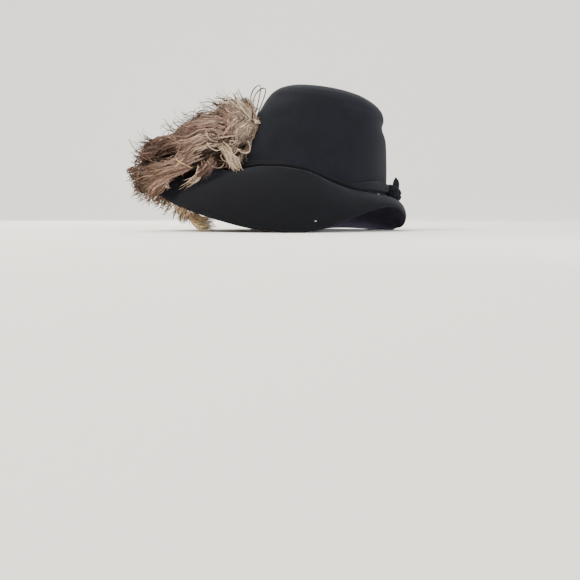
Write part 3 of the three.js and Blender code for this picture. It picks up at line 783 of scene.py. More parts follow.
def keep_off_felt(lines, over, clearance, room=200.0):
    """Moves points off the felt: those over the brim up, those under it down but no lower than room allows,
    and all out of the crown. over is true or false for each point or for all, and with None each line stays
    on the side where it mostly is."""
    heights, sides = felt_heights()
    x, y, z = (lines[..., k].copy() for k in range(3))
    turned = np.mod(np.round(np.degrees(np.arctan2(x, -y))).astype(int), 360)
    away = np.hypot(x, y)
    side = sides[turned, np.clip(np.round(z).astype(int), 0, FELT_TOP - 1)]
    above_foot = z > SEAM_HEIGHT - FOOT_ROOM
    push = np.where(above_foot, np.maximum(side + clearance - away, 0.0), 0.0)
    grow = (away + push) / np.maximum(away, 1e-6)
    x, y = x * grow, y * grow
    away = away + push
    brim = heights[turned, np.clip(np.round(away).astype(int), 0, FELT_REACH - 1)]
    on_brim = ~np.isnan(brim)
    brim = np.nan_to_num(brim)
    if over is None:
        standing = np.sum(np.where(on_brim, z - brim + 0.5 * FELT, 0.0), axis=1, keepdims=True)
        over = standing > 0.0
    over = np.asarray(over)
    z = np.where(on_brim & over, np.maximum(z, brim + clearance), z)
    ceiling = brim - FELT - clearance
    z = np.where(on_brim & ~over, np.clip(z, ceiling - room, ceiling), z)
    return np.stack([x, y, np.maximum(z, OFF_SURFACE)], axis=-1)


def shares(rng, count, latest, earliest):
    """Places of barbs along middle lines: each starts before latest and ends after earliest."""
    start = rng.uniform(0.0, latest, (count, 1))
    return start + (rng.uniform(earliest, 1.0, (count, 1)) - start) * ALONG


def waves(rng, count, size):
    """Slow sideways wandering of barbs, none at their roots."""
    along = ALONG[:, None]
    total = np.zeros((count, STEPS, 3))
    for turns, share in ((0.8, 1.0), (1.7, 0.5), (3.1, 0.22)):
        phase = rng.uniform(0.0, TURN, (count, 1, 3))
        turns_here = turns * rng.uniform(0.7, 1.3, (count, 1, 1))
        total += share * rng.normal(size=(count, 1, 3)) * np.sin(TURN * turns_here * along + phase)
    return size * total * np.minimum(along * 2.5, 1.0)


def curl_tips(rng, lines, angles, upright):
    """Bends each line about an axis, more and more towards its tip. upright is how far the axes may lean
    from the view's own direction."""
    count = len(lines)
    steps = np.diff(lines, axis=1)
    place = np.linspace(0.0, 1.0, steps.shape[1])[None]
    theta = (angles[:, None] * np.clip((place - 0.3) / 0.7, 0.0, 1.0) ** 1.7)[..., None]
    axis = unit(BACKWARD + upright * rng.normal(size=(count, 3)))[:, None]
    inline = axis * np.sum(axis * steps, axis=-1, keepdims=True)
    turned = steps * np.cos(theta) + np.cross(axis, steps) * np.sin(theta) + inline * (1.0 - np.cos(theta))
    return np.concatenate([lines[:, :1], lines[:, :1] + np.cumsum(turned, axis=1)], axis=1)


def barb_widths(rng, count, thin, thick, taper=0.86):
    """Half widths along barbs: full near the root, drawn out to a fine tip."""
    base = np.where(rng.uniform(size=count) < 0.35, thick, thin) * rng.uniform(0.75, 1.25, count)
    return base[:, None] * ((1.0 - taper * ALONG**1.7) * (0.6 + 0.4 * np.minimum(ALONG / 0.2, 1.0)))


def barb_tones(rng, root, far, dark, spread=0.2):
    """Colours along barbs, from root to far, each barb a little lighter or darker, some with dark tips."""
    count = len(root)
    place = ALONG[:, None]
    tone = root[:, None] * (1.0 - place) + far[:, None] * place
    tone = tone * np.exp(spread * rng.normal(size=(count, 1, 1)))
    tipped = (rng.uniform(size=(count, 1, 1)) < dark) * np.clip((place - 0.72) / 0.25, 0.0, 1.0)
    return np.minimum(tone, 0.9) * (1.0 - tipped) + TIP * tipped


def plume_route():
    """The plume's form as rows of share along it, middle, half height and half depth, and its length."""
    form = np.array(PLUME_FORM, dtype=float)
    steps = np.linalg.norm(np.diff(form[:, :3], axis=0), axis=1)
    share = np.concatenate([[0.0], np.cumsum(steps)]) / np.sum(steps)
    return np.column_stack([share, form]), float(np.sum(steps))


def place_in_form(route, share, turn, depth):
    """Points in the plume's form: share along it, angle round it and depth from its middle line."""
    high, deep = read_line(route, share)[3:]
    middle, ahead, back = (
        np.stack(read_line(route, share + nudge)[:3], axis=-1) for nudge in (0.0, 0.01, -0.01)
    )
    along = unit(ahead - back)
    side = unit(BACKWARD - along * along[..., 1:2])
    up = np.cross(side, along)
    reach_up = (depth * high * np.cos(turn))[..., None]
    reach_side = (depth * deep * np.sin(turn))[..., None]
    return middle + up * reach_up + side * reach_side


def resample(lines, share):
    """Points of each line at shares of its steps."""
    place = np.clip(share, 0.0, 1.0) * (lines.shape[1] - 1)
    i = np.clip(np.floor(place).astype(int), 0, lines.shape[1] - 2)
    t = (place - i)[..., None]
    row = np.arange(len(lines))[:, None]
    return lines[row, i] * (1.0 - t) + lines[row, i + 1] * t


def clumped(rng, middles, sizes, per, roots, fars, dark, curl=0.6):
    """Barbs that lie together in clumps along these middle lines: gathered at the root, fuller in the middle
    and loose at the tip, each with its own small waves and curl."""
    count = len(middles) * per
    base = np.repeat(middles, per, axis=0)
    size = np.repeat(sizes, per)[:, None]
    share = shares(rng, count, 0.3, 0.7)
    lines = resample(base, share)
    guide = unit(rng.normal(size=(len(middles), 1, 3)))
    side, up = crossways(lines, np.repeat(guide, per, axis=0))
    out = np.sqrt(rng.uniform(0.0, 1.0, (count, 1)))
    turn = rng.uniform(0.0, TURN, (count, 1)) + 0.8 * share
    full = 0.45 + 0.55 * np.sin(math.pi * np.clip(0.08 + 0.72 * share, 0.0, 1.0))
    reach = (size * full * out)[..., None]
    lines = lines + reach * (side * np.cos(turn)[..., None] + up * np.sin(turn)[..., None])
    wander = 0.35 + 0.16 * size[..., None] if per > 1 else 1.0
    lines = lines + waves(rng, count, 1.0) * wander
    lines = curl_tips(rng, lines, curl * rng.normal(size=count), 1.0)
    tones = barb_tones(rng, np.repeat(roots, per, axis=0), np.repeat(fars, per, axis=0), dark, 0.38)
    tones = tones * np.minimum(0.6 / np.max(tones, axis=-1, keepdims=True), 1.0)
    if per > 1:
        return lines, barb_widths(rng, count, 0.42, 0.95), tones
    return lines, barb_widths(rng, count, 0.75, 1.0, 0.6), tones


def nearness_to_gap(lines, gap):
    """How far points are inside a gap of the plume, as it is seen from the near side: 1 in its middle and 0
    at its edge."""
    x, z = seen_from_front(lines)
    x, z = x - gap.x, z - gap.z
    turn = math.radians(gap.tilt)
    level = (x * math.cos(turn) + z * math.sin(turn)) / gap.half_x
    rise = (z * math.cos(turn) - x * math.sin(turn)) / gap.half_z
    return np.clip(1.0 - level**2 - rise**2, 0.0, 1.0)


def seen_from_front(points):
    """Points as they are seen from the near side, moved along the view onto the gaps' plane: x and z."""
    to_near = (CAMERA_AWAY + GAP_PLANE) / (CAMERA_AWAY + points[..., 1])
    x = -CAMERA_LEFT + (points[..., 0] + CAMERA_LEFT) * to_near
    return x, CAMERA_HEIGHT + (points[..., 2] - CAMERA_HEIGHT) * to_near


def below_near_rim(lines):
    """Which lines are seen hanging below the brim's near left rim, or below the plume's left end."""
    rim = brim_point(np.linspace(-86.0, -20.0, 80), 1.0) - np.array([0.0, 0.0, FELT])
    rim_x, rim_z = seen_from_front(rim)
    edge_x = np.concatenate([[-230.0, -212.0, -200.0], rim_x])
    edge_z = np.concatenate([[56.0, 46.0, 38.0], rim_z])
    x, z = seen_from_front(lines)
    return np.any((z < np.interp(x, edge_x, edge_z)) & (x < rim_x[-1]), axis=1)


def nearness_to_hollow(lines):
    """How far points are inside the nearest hollow."""
    return np.max([nearness_to_gap(lines, hollow) for hollow in HOLLOWS], axis=0)


def keep_clear_of_gaps(lines, widths, tones):
    """Pushes barbs back from the plume's shaded hollows and leaves out those that cross its window."""
    crossing = np.arange(len(lines))[:, None] % CROSS_EVERY == 0
    inside = np.where(crossing, 0.0, nearness_to_hollow(lines))
    lines = lines.copy()
    lines[..., 1] += HOLLOW_DEPTH * np.sqrt(inside) * (lines[..., 1] < 0.0)
    # Barbs in a hollow are painted darker towards its middle: painted shade.
    tones = tones * (1.0 - 0.85 * inside[..., None] ** 0.5)
    kept = ~np.any(nearness_to_gap(lines, WINDOW) > 0.0, axis=1)
    return lines[kept], widths[kept], tones[kept]


def body_barbs(rng, clumps, per, first, last):
    """Clumps of barbs that fill the plume's form and flow along it, between these shares of its length."""
    route, length = plume_route()
    one = (clumps, 1)
    start = rng.uniform(first, last, one)
    long = rng.uniform(38.0, 86.0, one) / length
    share = start + long * ALONG
    turn = rng.uniform(0.0, TURN, one) + rng.normal(0.0, 0.5, one) * ALONG
    depth = 0.3 + 0.56 * rng.uniform(0.0, 1.0, one) ** 0.5
    lift = rng.uniform(-0.12, 0.12, one)
    past = np.maximum(share - 1.0, 0.0)[..., None] * length
    middles = place_in_form(route, share, turn, depth + lift * ALONG**2)
    middles = middles + past * np.array([0.9, -0.2, -0.1]) + waves(rng, clumps, 1.8)
    hooked = (rng.uniform(size=clumps) < 0.3) & (start[:, 0] < 0.4)
    hooks = rng.choice([-1.0, 1.0], clumps) * rng.uniform(1.6, 3.2, clumps)
    curls = np.where(hooked, hooks, 0.7 * rng.normal(size=clumps))
    middles = curl_tips(rng, middles, curls, 1.0)
    s = np.clip(start + 0.5 * long, 0.0, 1.0)
    tone = np.where(s < 0.13, CREAM, np.where(s < 0.3, STRAW, np.where(s < 0.62, TAUPE, SAND)))
    mix = rng.uniform(0.0, 1.0, one)
    tone = tone * (1.0 - 0.7 * mix) + 0.7 * mix * np.where(s < 0.2, STRAW, BROWN)
    shade = 0.2 + 0.72 * np.clip((depth - 0.55) / 0.35, 0.0, 1.0)
    tone = tone * shade * np.exp(0.25 * rng.normal(size=one))
    sizes = rng.uniform(2.0, 5.0, clumps)
    lines, widths, tones = clumped(rng, middles, sizes, per, tone, tone * 0.85, 0.35)
    over = np.repeat(share < PLUME_UNDER, per, axis=0)
    lines = keep_off_felt(lines, over, 1.2, 6.0)
    kept = ~below_near_rim(lines)
    return keep_clear_of_gaps(lines[kept], widths[kept], tones[kept])


def lock_barbs(rng, row):
    """The barbs of one lock, in clumps of its own."""
    name, first, bend, last, wide, spread, count, curl, root, far, dark, per = row
    n = max(count // per, 1)
    share = shares(rng, n, 0.35, 0.78)
    middle = curve(first, bend, last, share)
    up = unit(np.cross(BACKWARD, unit(np.gradient(middle, axis=1))))
    out = np.sqrt(rng.uniform(0.0, 1.0, n))
    turn = rng.uniform(0.0, TURN, n)
    radius = (wide + (spread - wide) * share)[..., None]
    offset = up * (out * np.cos(turn))[:, None, None]
    offset = offset + 0.8 * BACKWARD * (out * np.sin(turn))[:, None, None]
    middles = middle + radius * offset + waves(rng, n, 0.14 * wide + 0.3)
    middles = curl_tips(rng, middles, curl * 1.4 * rng.normal(0.0, 1.0, n), 0.5)
    shade = np.exp(0.24 * rng.normal(size=(n, 1)))
    mix = rng.uniform(0.0, 0.5, (n, 1))
    roots = (root * (1.0 - mix) + far * mix) * shade
    fars = far * shade * 0.92
    sizes = np.sqrt(per / 16.0) * (rng.uniform(0.14, 0.28, n) * wide + 0.7)
    lines, widths, tones = clumped(rng, middles, sizes, per, roots, fars, dark, min(curl, 0.6))
    lines = keep_off_felt(lines, None if name.startswith("round") else True, 1.0)
    if name in GAP_CROSSERS:
        return lines, widths, tones
    return keep_clear_of_gaps(lines, widths, tones)


def fringe_barbs(rng, barbs):
    """Short barbs with dark tips: some stand out from the plume's left end, the rest hang apart from each
    other in a fringe from under the brim's near left rim."""
    route, _ = plume_route()
    ends = 3 * barbs // 5
    share = rng.uniform(0.36, 0.66, ends)
    turn = rng.uniform(0.0, TURN, ends)
    root = place_in_form(route, share, turn, 0.74)
    outside = place_in_form(route, share, turn, 1.0)
    lean = unit(outside - root) + 0.4 * rng.normal(size=(ends, 3)) + np.array([-0.7, -0.2, -0.3])
    hanging = barbs - ends
    azimuth = rng.uniform(-104.0, -57.0, hanging)
    under = brim_point(azimuth, rng.uniform(0.95, 1.0, hanging)) - np.array([0.0, 0.0, FELT + 0.8])
    fall = np.array([-0.2, -0.05, -1.0]) + 0.3 * rng.normal(size=(hanging, 3)) + 0.35 * outward(azimuth)
    root = np.concatenate([root, under])
    lean = np.concatenate([lean, fall])
    long = np.concatenate([rng.uniform(9.0, 14.0, ends), rng.uniform(7.0, 16.0, hanging)])[:, None, None]
    lines = root[:, None] + unit(lean)[:, None] * long * ALONG[:, None] + waves(rng, barbs, 0.4)
    lines = curl_tips(rng, lines, 0.5 * rng.normal(size=barbs), 1.0)
    lines[:ends] = keep_off_felt(lines[:ends], None, 2.0)
    lines[ends:] = keep_off_felt(lines[ends:], False, 1.0)
    tone = SAND * np.exp(0.3 * rng.normal(size=(barbs, 1)))
    widths = rng.uniform(0.65, 0.95, (barbs, 1)) * (1.0 - 0.6 * ALONG**2)
    tones = barb_tones(rng, 1.2 * tone, 0.4 * tone, 1.0, 0.2)
    # A barb that was moved so far that a step of it grew long is left out.
    kept = np.max(np.linalg.norm(np.diff(lines, axis=1), axis=-1), axis=1) < LONGEST_STEP
    return lines[kept], widths[kept], tones[kept]


def shade_core_mesh():
    """A closed dark sheet inside the plume, coloured like the dark tips: painted shade where the barbs lie
    deep.
    """
    route, _ = plume_route()
    share, turn = grids(np.linspace(0.04, 0.6, 60)[None], round_angles(72)[:, None])
    ends = np.minimum(1.0, np.minimum(share - 0.03, 0.61 - share) / 0.1) ** 0.5
    rough = 1.0 + 0.05 * np.sin(7.0 * turn + 60.0 * share) + 0.04 * np.sin(13.0 * turn - 90.0 * share)
    grid = place_in_form(route, share, turn, 0.62 * ends * rough)
    inside = nearness_to_hollow(grid)
    grid[..., 1] += HOLLOW_DEPTH * np.sqrt(inside) * (grid[..., 1] < 0.0)
    grid = keep_off_felt(grid, share < PLUME_UNDER, 2.0, 6.0)
    columns, rows = grid.shape[:2]
    # Painted shade: the sheet takes the dark tips' colour.
    tones = np.broadcast_to(1.1 * TIP, grid.shape)
    return grid.reshape(-1, 3), [ring_faces(columns, rows, False), grid_caps(columns, rows)], tones


# Columns: start, bend, end, radius at both ends, share of the barbs, share of them with dark tips.
TAIL_BUNDLES = (
    ((-164, -42, 33), (-152, -48, 21), (-149, -50, 9), 5.0, 8.0, 0.4, 1.0),
    ((-144, -46, 25), (-134, -51, 11), (-114, -56, 7), 6.0, 10.0, 0.6, 0.4),
)


def tail_barbs(rng, count):
    """The plume's golden end under the brim: a bundle that hangs with dark tips, and one combed along
    itself that opens into a rounded, frayed end."""
    parts = []
    for first, bend, last, wide, open_wide, portion, dark in TAIL_BUNDLES:
        n = int(portion * count)
        share = shares(rng, n, 0.5, 0.66)
        middle = curve(first, bend, last, share)
        side, up = crossways(middle, np.array([0.0, 0.0, 1.0]))
        turn = rng.uniform(0.0, TURN, n)[:, None, None]
        swell = np.sin(math.pi * np.clip(0.2 + 0.45 * share, 0.0, 1.0))
        reach = (wide + (open_wide - wide) * share) * swell * np.sqrt(rng.uniform(0.1, 1.0, (n, 1)))
        lines = middle + reach[..., None] * (side * np.cos(turn) + up * np.sin(turn)) + waves(rng, n, 0.5)
        lines = curl_tips(rng, lines, 0.5 * rng.normal(size=n), 1.0)
        # The gold is the end's own colour, painted lighter as painted light: the light that shines through
        # it from behind.
        tone = GOLD_AND_BACKLIGHT * np.exp(0.35 * rng.normal(size=(n, 1)))
        widths = barb_widths(rng, n, 0.45, 0.7, 0.7)
        parts.append((lines, widths, barb_tones(rng, tone, tone * 0.85, dark, 0.3)))
    lines, widths, tones = (np.concatenate(each) for each in zip(*parts))
    return keep_off_felt(lines, False, 1.0), widths, tones


def stray_barbs(rng, count):
    """Fine single barbs that stand off the plume in long open curves."""
    route, _ = plume_route()
    share = rng.uniform(0.02, 0.55, count)
    turn = rng.uniform(-2.2, 1.2, count)
    root = place_in_form(route, share, turn, 0.9)
    centre = place_in_form(route, share, turn, 0.0)
    lean = 0.6 * unit(root - centre) + np.array([-1.0, 0.0, 0.25]) + 0.3 * rng.normal(size=(count, 3))
    long = rng.uniform(12.0, 30.0, (count, 1, 1))
    lines = root[:, None] + unit(lean)[:, None] * long * ALONG[:, None] + waves(rng, count, 0.8)
    lines = curl_tips(rng, lines, rng.choice([-1.0, 1.0], count) * rng.uniform(0.8, 2.4, count), 0.4)
    lines = keep_off_felt(lines, True, 1.2)
    lines = lines[lines[:, -1, 2] > STRAY_HEIGHT]
    tone = np.tile(TAUPE * 0.7, (len(lines), 1))
    return lines, barb_widths(rng, len(lines), 0.6, 0.8, 0.6), barb_tones(rng, tone, tone * 0.4, 0.8, 0.3)


# Columns: middle x, y, z, radius, first and last turn in radians, lean along y, half width, colour.
CURLED_RINGS = (
    (-114, -82, 108, 8.2, -0.4, 5.0, 0.35, 1.3, STRAW),
    (-114, -84, 107, 5.4, 0.4, 6.0, -0.3, 1.3, BROWN),
    (-113, -83, 108, 3.2, 0.0, 4.6, 0.3, 1.0, TIP),
    (-114, -78, 99, 9.5, 3.0, 5.9, 0.2, 1.0, CREAM),
    (-83, -74, 97, 10.5, -2.6, 0.5, -0.3, 1.0, CREAM),
    (-82, -71, 96, 8.6, -2.2, 1.0, 0.3, 0.7, TAUPE),
    (-100, -76, 84, 7.0, 2.4, 5.2, 0.3, 0.6, STRAW),
    (-141, -70, 98, 6.5, 0.3, 3.6, 0.3, 0.6, STRAW),
    (-186, -44, 62, 7.5, 2.4, 5.2, 0.3, 0.6, STRAW),
    (-150, -64, 112, 8.0, 0.6, 3.4, 0.4, 0.5, SAND),
    (-114, -74, 81, 11.0, 3.3, 5.9, 0.1, 0.7, STRAW),
    (-99, -76, 90, 7.0, 2.2, 4.4, 0.2, 0.6, STRAW),
)

# Columns: foot, top, half width of the hoop, lean along y.
HOOPS = (
    ((-72, -38, 126), (-66, -42, 168), 7.6, 0.1),
    ((-70, -36, 126), (-61, -40, 165), 8.0, -0.2),
)

# Columns: root, bend, tip.
LONG_STRAYS = (
    ((-190, -30, 92), (-206, -34, 92), (-217, -34, 107)),
    ((-188, -28, 90), (-205, -32, 87), (-216, -32, 93)),
    ((-146, -40, 114), (-163, -40, 114), (-174, -40, 130)),
    ((-80, -44, 144), (-84, -45, 154), (-88, -46, 163)),
    ((-88, -48, 142), (-91, -49, 152), (-94, -50, 158)),
    ((-106, -50, 136), (-117, -52, 147), (-132, -54, 147)),
    ((-99, -52, 137), (-111, -54, 145), (-129, -56, 139)),
    ((-94, -50, 133), (-101, -52, 148), (-113, -54, 154)),
    ((-89, -52, 137), (-100, -54, 150), (-115, -56, 151)),
    ((-72, -50, 126), (-72, -51, 141), (-83, -52, 153)),
    ((-128, -50, 131), (-140, -52, 137), (-151, -54, 132)),
)


def loop_barbs():
    """Barbs rolled into rings on the plume's near side, two long hoops beside the crown, and long strays."""
    place = np.linspace(0.0, 1.0, 30)
    fade = place[:, None]
    parts = []
    for x, y, z, radius, first, last, lean, width, tone in CURLED_RINGS:
        turn = first + (last - first) * place
        reach = radius * (0.8 + 0.3 * place + 0.06 * np.sin(2.0 * turn + x))
        side = reach * np.cos(turn + 0.4)
        rise = 0.86 * reach * np.sin(turn)
        line = np.stack([x + side, y - 3.0 * place + lean * (side + rise), z + rise], axis=-1)
        parts.append((line, width * (1.0 - 0.55 * place), np.tile(tone, (len(place), 1))))
    for foot, top, width, lean in HOOPS:
        turn = TURN * place
        rise = 0.5 * (1.0 - np.cos(turn))
        side = width * (np.sin(turn) + 0.25 * np.sin(2.0 * turn + width)) * rise**0.8
        line = np.array(foot) + np.subtract(top, foot) * rise[:, None]
        line = line + side[:, None] * np.array([1.0, lean, 0.0])
        parts.append((line, 1.05 - 0.2 * place, BROWN * (0.8 - 0.3 * fade)))
    for row in LONG_STRAYS:
        parts.append((curve(*row, place), 0.95 * (1.0 - 0.5 * place), BROWN * (0.9 - 0.5 * fade)))
    return [np.array(each) for each in zip(*parts)]


# Columns of both: share of the length, x, y, z.
QUILL = ((0.0, -157, -70, 82), (0.35, -153, -72, 78.5), (0.7, -146, -71, 75), (1.0, -139, -68, 71.5))
STEM = (
    (0.0, -58, -20, 124),
    (0.2, -80, -20, 126),
    (0.45, -124, -18, 108),
    (0.7, -176, -8, 76),
    (0.85, -200, -4, 58),
    (1.0, -196, -4, 44),
)


def quill_mesh():
    """The plume's stem down its middle, and a stripped yellow quill that shows among the barbs."""
    place = np.linspace(0.0, 1.0, 40)
    lines = np.stack([np.stack(read_line(path, place), axis=-1) for path in (QUILL, STEM)])
    over = np.stack([place <= 1.0, place < STEM_UNDER])
    lines = keep_off_felt(lines, over, 1.2)
    widths = np.stack([0.75 * (1.0 - 0.6 * place), 1.5 * (1.0 - 0.75 * place)])
    return tubes(lines, widths, np.ones((*lines.shape[:2], 3)), sides=10, flat=0.8)[:2]


# Columns: azimuth, share of the brim's width, number of fibres, spread across, spread along.
LINT_PLACES = ((-0.5, 0.845, 5, 2.0, 0.5), (57.0, 0.115, 6, 2.0, 0.7))


def lint_mesh():
    """Pale specks in the brim's nap, each a few short curled fibres: lint on the near brim, and a speck
    beside the strap near the knot.
    """
    rng = np.random.default_rng(LINT_SEED)
    place = ALONG[:, None]
    lines = []
    for azimuth, share, fibres, wide, long in LINT_PLACES:
        spot = brim_point(azimuth, share)
        inward = unit(brim_point(azimuth, share - 0.02) - spot)
        sideways = unit(brim_point(azimuth + 1.0, share) - spot)
        over = unit(np.cross(sideways, inward))
        over = over * np.sign(over[2])
        place_across = wide * rng.normal(0.0, 0.35, (fibres, 1, 1))
        place_along = long * rng.normal(0.0, 0.35, (fibres, 1, 1))
        way = rng.normal(size=(fibres, 2, 1, 1))
        way = way / np.linalg.norm(way, axis=1, keepdims=True)
        run = 1.1 * (place - 0.5)
        bow = 0.3 * rng.normal(size=(fibres, 1, 1)) * np.sin(math.pi * place)
        across = place_across + way[:, 0] * run - way[:, 1] * bow
        along = place_along + way[:, 1] * run + way[:, 0] * bow
        height = 0.35 + 0.25 * rng.uniform(size=(fibres, 1, 1)) + 0.1 * np.cos(math.pi * place)
        lines.append(spot + across * sideways + along * inward + height * over)
    lines = np.concatenate(lines)
    widths = np.full(lines.shape[:2], 0.2)
    return tubes(lines, widths, np.ones((*lines.shape[:2], 3)), sides=5, flat=1.0)[:2]


def hex_colour(name, what, default):
    return bpy.props.StringProperty(name=name, description=f"sRGB hex colour of {what}", default=default)


def number(name, what, default, **more):
    return bpy.props.FloatProperty(name=name, description=what, default=default, **more)


def whole(name, what, default):
    return bpy.props.IntProperty(name=name, description=what, default=default)


class FedoraFelt(bpy.types.PropertyGroup):
    """Sizes and colours of the felt."""

    dark: hex_colour("Felt, dark", "the felt's shaded nap", "#040507")
    light: hex_colour("Felt, light", "the felt's raised nap", "#090B0F")
    # The crown's colours are the same felt painted lighter than the brim's: painted light.
    crown_dark: hex_colour("Crown, dark", "the crown's shaded nap", "#07090D")
    crown_light: hex_colour("Crown, light", "the crown's raised nap", "#10131A")
    # The strap's colours are the hat's felt painted lighter: painted light on its folds.
    strap_dark: hex_colour("Strap, dark", "the strap's shaded nap", "#0A0B0E")
    strap_light: hex_colour("Strap, light", "the strap's raised nap", "#1C1E23")
    edge_line: number("Edge line", "Distance of the pressed line from the rim, in millimetres", 4.0)
    edge_depth: number("Edge depth", "Depth of the pressed line, in millimetres", 0.3)
    strap_thickness: number("Strap", "Thickness of the strap, in millimetres", 1.6)
    knot_folds: whole("Knot folds", "Upright folds round the knot", 11)


class FedoraPlume(bpy.types.PropertyGroup):
    """Numbers of barbs in the plume."""

    body: whole("Body", "Clumps that fill the plume's form", 230)
    fringe: whole("Fringe", "Short dark-tipped barbs", 360)
    tail: whole("Tail", "Combed barbs of the hanging end", 340)
    strays: whole("Strays", "Single barbs that stand off", 70)


class FedoraStage(bpy.types.PropertyGroup):
    """Floor, light and camera."""

    floor: hex_colour("Floor", "the floor", "#EFEDE8")
    lens: number("Lens", "Focal length on a 36 mm sensor", 54.12)
    camera_left: number("Camera left", "Millimetres left of the crown's centre", CAMERA_LEFT)
    camera_front: number("Camera front", "Millimetres before the crown's centre", CAMERA_AWAY)
    camera_height: number("Camera height", "Millimetres above the floor", CAMERA_HEIGHT)
    camera_pitch: number("Camera pitch", "How far it looks down", math.radians(4.98), subtype="ANGLE")
    key: number("Key light", "Strength of the key", 52.0, unit="POWER")
    fill: number("Fill light", "Strength of the fill", 12.0, unit="POWER")
    back: number("Back light", "Strength of the back", 20.0, unit="POWER")
    low: number("Low light", "Strength of the low light", 0.5, unit="POWER")
    wall: number("Wall light", "Strength of the light on the backdrop", 70.0, unit="POWER")
    sky: number("Sky", "Strength of the even light", 1.05)


def brim_felt():
    """The brim's felt, almost without shine: painted darker than the crown's as painted shade, its under
    face lighter as painted light.
    """
    felt = bpy.context.scene.fedora_felt
    colours = felt.dark, felt.light
    return material_once("fur felt, blocked and brushed", felt_shader, *colours, FELT_ROUGH, True)


def crown_felt():
    """The crown's felt: the brim's felt painted lighter, as painted light, so that it reads lighter than the
    brim's.
    """
    felt = bpy.context.scene.fedora_felt
    colours = felt.crown_dark, felt.crown_light
    return material_once("fur felt, blocked and brushed up", felt_shader, *colours, FELT_ROUGH)


def strap_felt():
    """The strap's felt, cut, folded and pressed with steam: its nap is flatter, so it shines a little more.
    It is painted lighter than the brim's felt, as painted light on its folds, and its creases are painted
    dark, as painted shade."""
    felt = bpy.context.scene.fedora_felt
    colours = felt.strap_dark, felt.strap_light
    return material_once("fur felt strap, cut and steamed", felt_shader, *colours, STRAP_ROUGH, True)


def plume_barbs():
    """All barbs of the plume. Their cream, taupe and brown are in their meshes."""
    return material_once("ostrich barbs, dyed and curled", barb_shader, BARB_ROUGH)


def dried_quill():
    """The quill and the stem, stripped of barbs and dried: yellow horn with a soft gloss and faint bumps."""
    return material_once("ostrich quill, stripped and dried", plain_shader, "#B59A66", 0.45, 1.5, 0.05)


def cotton_lint():
    """Loose cotton fibres: off-white and without gloss, so they are pale specks on the dark nap."""
    return material_once("cotton lint, loose", plain_shader, "#B9B8B4", 0.9, 0.6, 0.05)


def matt_plaster(colour):
    """The floor's plaster, rubbed smooth: pale and quite matt, with soft shadows and no reflections."""
    return material_once("matt plaster, pale", plain_shader, colour, 0.9, 4.0, 0.05)


def add_barbs(name, groups, seed, fluff=4):
    """Pieces of the plume from groups of barbs, with fluff barbules on each barb. Barbs that reach out too
    far are moved in, and those that reach much too far are left out."""
    lines, widths, tones = (np.concatenate(parts) for parts in zip(*groups))
    beyond = np.maximum(PLUME_REACH - np.min(lines[..., 0], axis=1), 0.0)
    lines = lines + beyond[:, None, None] * np.array([1.0, 0.0, 0.0])
    inside = beyond < MOST_MOVED_IN
    lines, widths, tones = lines[inside], widths[inside], tones[inside]
    pieces = math.ceil(len(lines) / BARBS_A_PIECE)
    for k in range(pieces):
        part = slice(k, None, pieces)
        points, faces, colours = tubes(lines[part], widths[part], tones[part], seed=seed + k)
        if fluff:
            more = barbules(lines[part], tones[part], fluff, seed + k)
            faces.append(more[1] + len(points))
            points = np.concatenate([points, more[0]])
            colours = np.concatenate([colours, more[2]])
        add_piece(f"{name}_{k + 1}", (points, faces, colours), plume_barbs(), "plume")


class FEDORA_OT_crown(bpy.types.Operator):
    """Adds the crown"""

    bl_idname = "fedora.crown"
    bl_label = "Crown"

    def execute(self, context):
        add_piece("felt_crown", crown_mesh(), crown_felt(), "crown")
        return {"FINISHED"}


class FEDORA_OT_brim(bpy.types.Operator):
    """Adds the brim, and the lint on it"""

    bl_idname = "fedora.brim"
    bl_label = "Brim"

    def execute(self, context):
        felt = context.scene.fedora_felt
        shape = brim_mesh(felt.edge_line, felt.edge_depth)
        add_piece("felt_brim", shape, brim_felt(), "brim")
        lint = make_mesh("lint", *lint_mesh())
        lint.data.materials.append(cotton_lint())
        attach(lint, "root")
        return {"FINISHED"}


class FEDORA_OT_strap(bpy.types.Operator):
    """Adds the strap round the crown's foot"""

    bl_idname = "fedora.strap"
    bl_label = "Strap"

    def execute(self, context):
        shape = strap_mesh(context.scene.fedora_felt.strap_thickness)
        add_piece("felt_strap", shape, strap_felt(), "band")
        return {"FINISHED"}


class FEDORA_OT_knot(bpy.types.Operator):
    """Adds the knot and the strap's pointed end"""

    bl_idname = "fedora.knot"
    bl_label = "Knot"

    def execute(self, context):
        shape = knot_mesh(context.scene.fedora_felt.knot_folds)
        add_piece("felt_knot", shape, strap_felt(), "knot")
        add_piece("felt_leaf", leaf_mesh(), strap_felt(), "knot_end")
        return {"FINISHED"}


class FEDORA_OT_plume_body(bpy.types.Operator):
    """Adds the barbs that fill the plume's form"""

    bl_idname = "fedora.plume_body"
    bl_label = "Plume body"

    def execute(self, context):
        clumps = context.scene.fedora_plume.body
        rng = np.random.default_rng(BODY_SEED)
        add_piece("plume_core", shade_core_mesh(), plume_barbs(), "plume")
        for k, (name, portion, first, last) in enumerate(BODY_PARTS):
            barbs = body_barbs(rng, int(portion * clumps), BODY_PER, first, last)
            add_barbs(name, [barbs], BODY_SEED + 1 + k)
        return {"FINISHED"}


class FEDORA_OT_plume_locks(bpy.types.Operator):
    """Adds the locks of barbs that lie on the plume"""

    bl_idname = "fedora.plume_locks"
    bl_label = "Plume locks"

    def execute(self, context):
        rng = np.random.default_rng(LOCKS_SEED)
        half = len(LOCKS) // 2
        groups = {
            "plume_near_upper": LOCKS[:half],
            "plume_near_lower": LOCKS[half:],
            "plume_far_side": LOCKS_BEHIND,
        }
        for k, (name, rows) in enumerate(groups.items()):
            add_barbs(name, [lock_barbs(rng, row) for row in rows], LOCKS_SEED + 1 + k)
        add_barbs("plume_rings_and_hoops", [loop_barbs()], LOCKS_SEED + 4, fluff=40)
        return {"FINISHED"}


